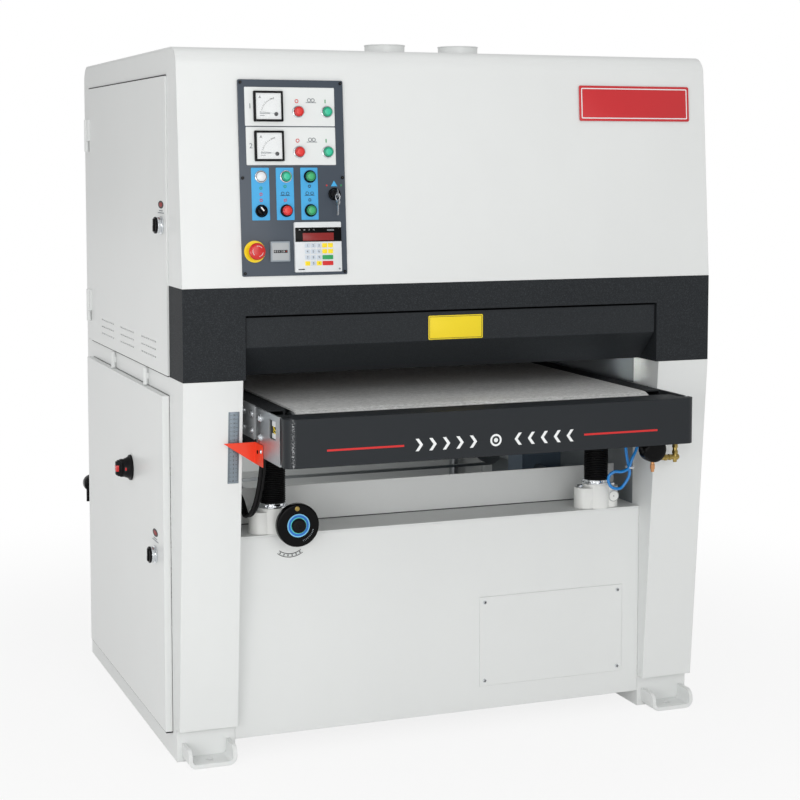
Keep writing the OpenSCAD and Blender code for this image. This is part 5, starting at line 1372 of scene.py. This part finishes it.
switch.block(*turnSwitch["flag"], redInk, switchAt, turnSwitch["flagEdge"])
switch.done("main_switch", "black_plastic", ["main_switch"])

# dark strips in the gaps round the doors and behind the ledge: painted shade for the gap shadows
gapShade = {
    "x": -0.7002, "y": (-0.4785, 0.4355), "edge": 0.0006,
    # low, high and out
    "strips": [(1.6516, 1.6545, 0.0034), (0.9342, 0.9364, 0.0034), (0.0616, 0.0643, 0.0166)],
}
gapStrips = Shape("door_gap_shade")
gapStripsAt = facing((gapShade["x"], 0, 0), (-1, 0, 0))
rear, front = (-y for y in gapShade["y"])
for low, high, out in gapShade["strips"]:
    gapStrips.block((front, low, 0), (rear, high, out), blackRubberAndGapShade, gapStripsAt, gapShade["edge"])
gapStrips.done("frame", "belt_rubber")
# a dark strip along the gap behind the ledge: painted shade for the gap's shadow
ledgeGap = {"box": ((-0.545, -0.3770, 0.5401), (0.545, -0.3748, 0.5417)), "edge": 0.0006}
ledgeShade = Shape("ledge_gap_shade")
ledgeShade.block(*ledgeGap["box"], blackRubberAndGapShade, edge=ledgeGap["edge"])
ledgeShade.done("frame", "belt_rubber")

contactors = {
    "x": -0.6106, "y": (-0.3705, 0.698), "z": (0.173, 0.607), "rows": (0.28, 0.5, 0.72),
    "shares": (0.12, 0.24, 0.36, 0.48, 0.60, 0.72, 0.84),
    "body": {"size": (0.051, 0.081), "low": -0.0002, "high": 0.002, "edge": 0.0006},
    "nose": {"size": (0.047, 0.036), "low": 0.0015, "high": 0.0105, "edge": 0.0012}, "corner": 0.002,
    "tag": ((-0.018, -0.006, 0.010), (0.018, 0.006, 0.0112)), "tagEdge": 0.0004,
    "screws": (-0.016, 0, 0.016), "rise": 0.032, "screwSize": (0.0042, 0.0026),
}
faces = Shape("contactor_faces")
body, nose = contactors["body"], contactors["nose"]
for row in contactors["rows"]:
    z = contactors["z"][0] + row * contactors["z"][1]
    for share in contactors["shares"]:
        at = facing((contactors["x"], contactors["y"][0] + share * contactors["y"][1], z), (-1, 0, 0))
        for part, finish in ((body, blackPlastic), (nose, meterGrey)):
            outline = roundedBox(*part["size"], contactors["corner"])
            faces.plate(outline, part["low"], part["high"], finish, at, part["edge"])
        faces.block(*contactors["tag"], paleCase, at, contactors["tagEdge"])
        for side in (-1, 1):
            for across in contactors["screws"]:
                screwAt = moved(at, across, side * contactors["rise"], nose["low"])
                panScrew(faces, screwAt, *contactors["screwSize"], steel)
faces.done("frame", "grey_plastic")
print("left side dressed")


# air supply: regulator under the right rail, filter behind the left post

gauge = {
    "at": (0.524, -0.6215, 0.7127),
    "body": [(0, 0), (0.026, 0), (0.0298, 0.002), (0.0323, 0.006), (0.033, 0.012), (0.033, 0.030),
             (0.0323, 0.0355), (0.0296, 0.0400), (0.0255, 0.0426), (0.018, 0.0437), (0, 0.044)],
}
# each fitting: place, direction, profile and finish, then its nuts as low, high and radius
fittings = {
    "stem": {"at": (0.507, -0.6435, 0.74), "out": (0, 0, 1), "finish": blackPlastic, "nutFinish": steel,
             "profile": [(0, 0), (0.007, 0), (0.007, 0.02), (0.0068, 0.0283), (0, 0.0283)],
             "nuts": [(0.014, 0.022, 0.0095)], "edge": 0.001},
    "arm": {"at": (0.545, -0.6508, 0.6907), "out": (1, 0, 0), "finish": brass, "nutFinish": brass,
            "profile": [(0, 0), (0.0068, 0), (0.0068, 0.014), (0.0058, 0.015), (0.0058, 0.028),
                        (0.0068, 0.029), (0.0068, 0.046), (0.006, 0.0500), (0, 0.051)],
            "nuts": [(0.008, 0.0155, 0.0088), (0.021, 0.028, 0.0084), (0.0405, 0.0475, 0.0086)],
            "edge": 0.001},
    "riser": {"at": (0.585, -0.6508, 0.6907), "out": (0, 0, 1), "finish": brass, "nutFinish": brass,
              "profile": [(0, -0.0135), (0.0046, -0.0135), (0.0052, -0.0125), (0.0052, -0.008),
                          (0.0072, -0.007), (0.0072, 0.006), (0.006, 0.008), (0.006, 0.030),
                          (0.0068, 0.031), (0.0068, 0.0415), (0, 0.042)],
              "nuts": [(0.009, 0.0165, 0.0088), (0.0245, 0.0325, 0.0084)], "edge": 0.001},
    "plug": {"at": (0.524, -0.6435, 0.6815), "out": (0, 0, -1), "finish": copper, "nutFinish": copper,
             "profile": [(0, 0), (0.0052, 0), (0.0052, 0.008), (0.0062, 0.0088), (0.0062, 0.019),
                         (0.0056, 0.0205), (0.0045, 0.021), (0.0045, 0.0265), (0.0038, 0.0275), (0, 0.0277)],
             "nuts": [(0.010, 0.0165, 0.0068)], "edge": 0.0008},
}
regulator = Shape("regulator_body")
regulator.lathe(gauge["body"], glossBlack, facing(gauge["at"], (0, -1, 0)), steps=56)
for fitting in fittings.values():
    at = facing(fitting["at"], fitting["out"])
    regulator.lathe(fitting["profile"], fitting["finish"], at, steps=24)
    for low, high, radius in fitting["nuts"]:
        regulator.plate(circle(radius, steps=6), low, high, fitting["nutFinish"], at, fitting["edge"])
regulator.done("table", "black_plastic", ["air_regulator"])

tie = {
    "at": (0.4995, -0.5655, 0.655), "size": (0.0088, 0.0145), "thick": 0.0011, "lifts": (-0.001, 0.0, 0.001),
    "head": ((0.007, -0.0035, -0.003), (0.0125, 0.0035, 0.003)), "edge": 0.0008,
    "socket": [(0.0042, -0.0185), (0.0066, -0.0185), (0.0069, -0.0178), (0.0069, -0.013), (0.0078, -0.012),
               (0.0078, 0.0002), (0.0042, 0.0002), (0.0042, -0.0185)],
    "nut": (0.0088, -0.0085, -0.001),
}
ties = Shape("tube_tie_and_fittings")
tieAt = Matrix.Translation(tie["at"])
for lift in tie["lifts"]:
    tieWay = raised(oval(*tie["size"], steps=32), lift)
    ties.tube(tieWay, tie["thick"], clearCap, sides=8, closed=True, at=tieAt)
ties.block(*tie["head"], clearCap, tieAt, tie["edge"])
radius, low, high = tie["nut"]
for end in (tubeWay[0], tubeWay[-1]):
    endAt = Matrix.Translation(end)
    ties.lathe(tie["socket"], blackPlastic, endAt, steps=28)
    ties.plate(circle(radius, steps=6), low, high, zinc, endAt, tie["edge"])
ties.done("table", "black_plastic")

filterTrim = {
    "at": (-0.638, 0.5448, 0), "inner": 0.0225,
    "bowl": [(0.0236, 0.365), (0.0240, 0.367), (0.0240, 0.431), (0.0234, 0.433)],
    "collar": [(0.0256, 0.439), (0.0260, 0.441), (0.0260, 0.469), (0.0252, 0.471)],
    "knob": [(0.0240, 0.5275), (0.0244, 0.5285), (0.0244, 0.549), (0.0232, 0.5525)], "knobTop": 0.5535,
    "ribs": 20, "rib": ((0.0240, -0.0012, 0.5305), (0.0253, 0.0012, 0.547)), "ribEdge": 0.0004,
    "dialAt": (-0.689, 0.5448, 0.500),
    "dial": [(0, -0.0162), (0.0205, -0.0162), (0.0236, -0.0146), (0.0246, -0.011), (0.0246, 0.011),
             (0.0236, 0.0146), (0.0205, 0.0162), (0, 0.0168)],
    "bezel": [(0.0206, -0.0158), (0.0221, -0.0166), (0.0237, -0.0150), (0.0225, -0.0136), (0.0206, -0.0158)],
}
trim = Shape("filter_trim")
filterAt = Matrix.Translation(filterTrim["at"])
inner = filterTrim["inner"]
for name, top, finish in (("bowl", None, bowlAmber), ("collar", None, glossBlack),
                          ("knob", filterTrim["knobTop"], glossBlack)):
    # a sleeve round the solid's cylinder
    outside = filterTrim[name]
    foot = (inner, outside[0][1])
    trim.lathe([foot, *outside, (inner, top or outside[-1][1]), foot], finish, filterAt)
for rib in range(filterTrim["ribs"]):
    ribAt = turned(filterAt, 360 * rib / filterTrim["ribs"])
    trim.block(*filterTrim["rib"], blackPlastic, ribAt, filterTrim["ribEdge"])
dialAt = facing(filterTrim["dialAt"], (0, -1, 0))
trim.lathe(filterTrim["dial"], glossBlack, dialAt, steps=48)
trim.lathe(filterTrim["bezel"], chrome, dialAt, steps=48)
trim.done("frame", "black_plastic")

fins = {
    "at": (0.5763, 0.703, 0), "count": 20, "edge": 0.0008,
    "fin": ((0.0485, -0.0014, 0.626), (0.0535, 0.0014, 0.752)),
    "cowl": [(0.045, 0.6038), (0.0485, 0.6038), (0.0512, 0.6053), (0.0515, 0.6075), (0.0515, 0.6240),
             (0.0505, 0.6250), (0.0490, 0.6250), (0.045, 0.6038)],
    "grille": (0.012, 0.022, 0.032, 0.041), "wireAt": 0.6044, "wire": 0.0011,
}
cooling = Shape("feed_motor_fins")
finAt = Matrix.Translation(fins["at"])
for fin in range(fins["count"]):
    cooling.block(*fins["fin"], motorPaint, turned(finAt, 360 * fin / fins["count"]), fins["edge"])
cooling.lathe(fins["cowl"], motorPaint, finAt, steps=48)
for radius in fins["grille"]:
    wireWay = raised(circle(radius, steps=36), fins["wireAt"])
    cooling.tube(wireWay, fins["wire"], blackPlastic, sides=6, closed=True, at=finAt)
cooling.done("table", "motor_paint")

ports = {
    "x": (-0.101, 0.101), "y": -0.3515, "radius": 0.0511, "bead": 0.0015, "beadAt": 1.7417, "foot": 1.7172,
    "fillet": [(0.0508, 0), (0.0545, 0), (0.0545, 0.0008), (0.0525, 0.0022), (0.0512, 0.0042),
               (0.0508, 0.0042), (0.0508, 0)],
}
beads = Shape("port_beads")
for x in ports["x"]:
    beadWay = raised(circle(ports["radius"], steps=64, centre=(x, ports["y"])), ports["beadAt"])
    beads.tube(beadWay, ports["bead"], whitePaint, sides=8, closed=True)
    beads.lathe(ports["fillet"], whitePaint, Matrix.Translation((x, ports["y"], ports["foot"])), steps=64)
beads.done("frame", "white_paint")
print("air supply and ports dressed")


# stage: pale floor, white all round for the lens, soft lamps

stage = {"floor": 30, "drop": 0.0005, "ambient": 0.56, "near": 0.84, "reach": (0.9, 2.6)}
half = stage["floor"]
floorMesh = bpy.data.meshes.new("floor")
corners = [(-half, -half, 0), (half, -half, 0), (half, half, 0), (-half, half, 0)]
floorMesh.from_pydata(corners, [], [(0, 1, 2, 3)])
floor = bpy.data.objects.new("floor", floorMesh)
bpy.context.collection.objects.link(floor)
floor.location.z = -stage["drop"]
ground = Finish("paleFloor")
ground.set(Base_Color=tone(236, 236, 235), Roughness=0.9)
lens = ground.rays("Is Camera Ray", "Is Glossy Ray", "Is Transmission Ray")
away = ground.add("VectorMath", {"operation": "LENGTH"}, {0: ground.here()}, "Value")
fade = ground.add("MapRange", {"interpolation_type": "SMOOTHSTEP"},
                  {"Value": away, "From Min": stage["reach"][0], "From Max": stage["reach"][1],
                   "To Min": stage["near"], "To Max": 1.0})
glow = ground.add("Emission", None, {"Color": (1, 1, 1, 1), "Strength": 1.0})
floorMix = ground.add("MixShader", None, {0: lens * fade, 1: Wire(ground, ground.skin.outputs[0]), 2: glow})
ground.feed(ground.tree.nodes["Material Output"].inputs["Surface"], floorMix)
floorMesh.materials.append(ground.material)

sky = Finish("studio", bpy.data.worlds.new("studio"), "Background")
bpy.context.scene.world = sky.material
level = sky.add("MapRange", None, {"Value": sky.rays("Is Camera Ray", "Is Transmission Ray"),
                                   "To Min": stage["ambient"], "To Max": 1.0})
sky.set(Color=(1, 1, 1, 1), Strength=level)

lamps = {
    "key": {"place": (-0.6, -5.2, 2.1), "aim": (0, -0.4, 0.8), "size": 2.8, "power": 60},
    "low": {"place": (-2.5, -3.0, 0.85), "aim": (0.3, -0.4, 0.75), "size": 1.5, "power": 22},
    "fill": {"place": (-4.2, -1.4, 3.0), "aim": (-0.6, 0, 1.5), "size": 2.6, "power": 15},
    "top": {"place": (0.4, -0.6, 4.8), "aim": (0, 0, 1.2), "size": 3.0, "power": 14},
    "under": {"place": (-0.3, -0.3, 0.6), "aim": (-0.3, 0.37, 0.56), "size": 0.2, "power": 1.2},
    "throat": {"place": (-1.6, -1.6, 1.08), "aim": (0.555, -0.45, 0.91), "size": 0.06, "power": 0.045,
               "beam": 5},
}
for name, lamp in lamps.items():
    light = bpy.data.lights.new(name, "AREA")
    light.energy = lamp["power"]
    light.size = lamp["size"]
    light.spread = math.radians(lamp.get("beam", 180))
    stand = bpy.data.objects.new(name, light)
    bpy.context.collection.objects.link(stand)
    stand.location = lamp["place"]
    aim = Vector(lamp["aim"]) - Vector(lamp["place"])
    stand.rotation_euler = aim.to_track_quat("-Z", "Y").to_euler()
bpy.context.scene.view_settings.view_transform = "Standard"
print("stage lit")
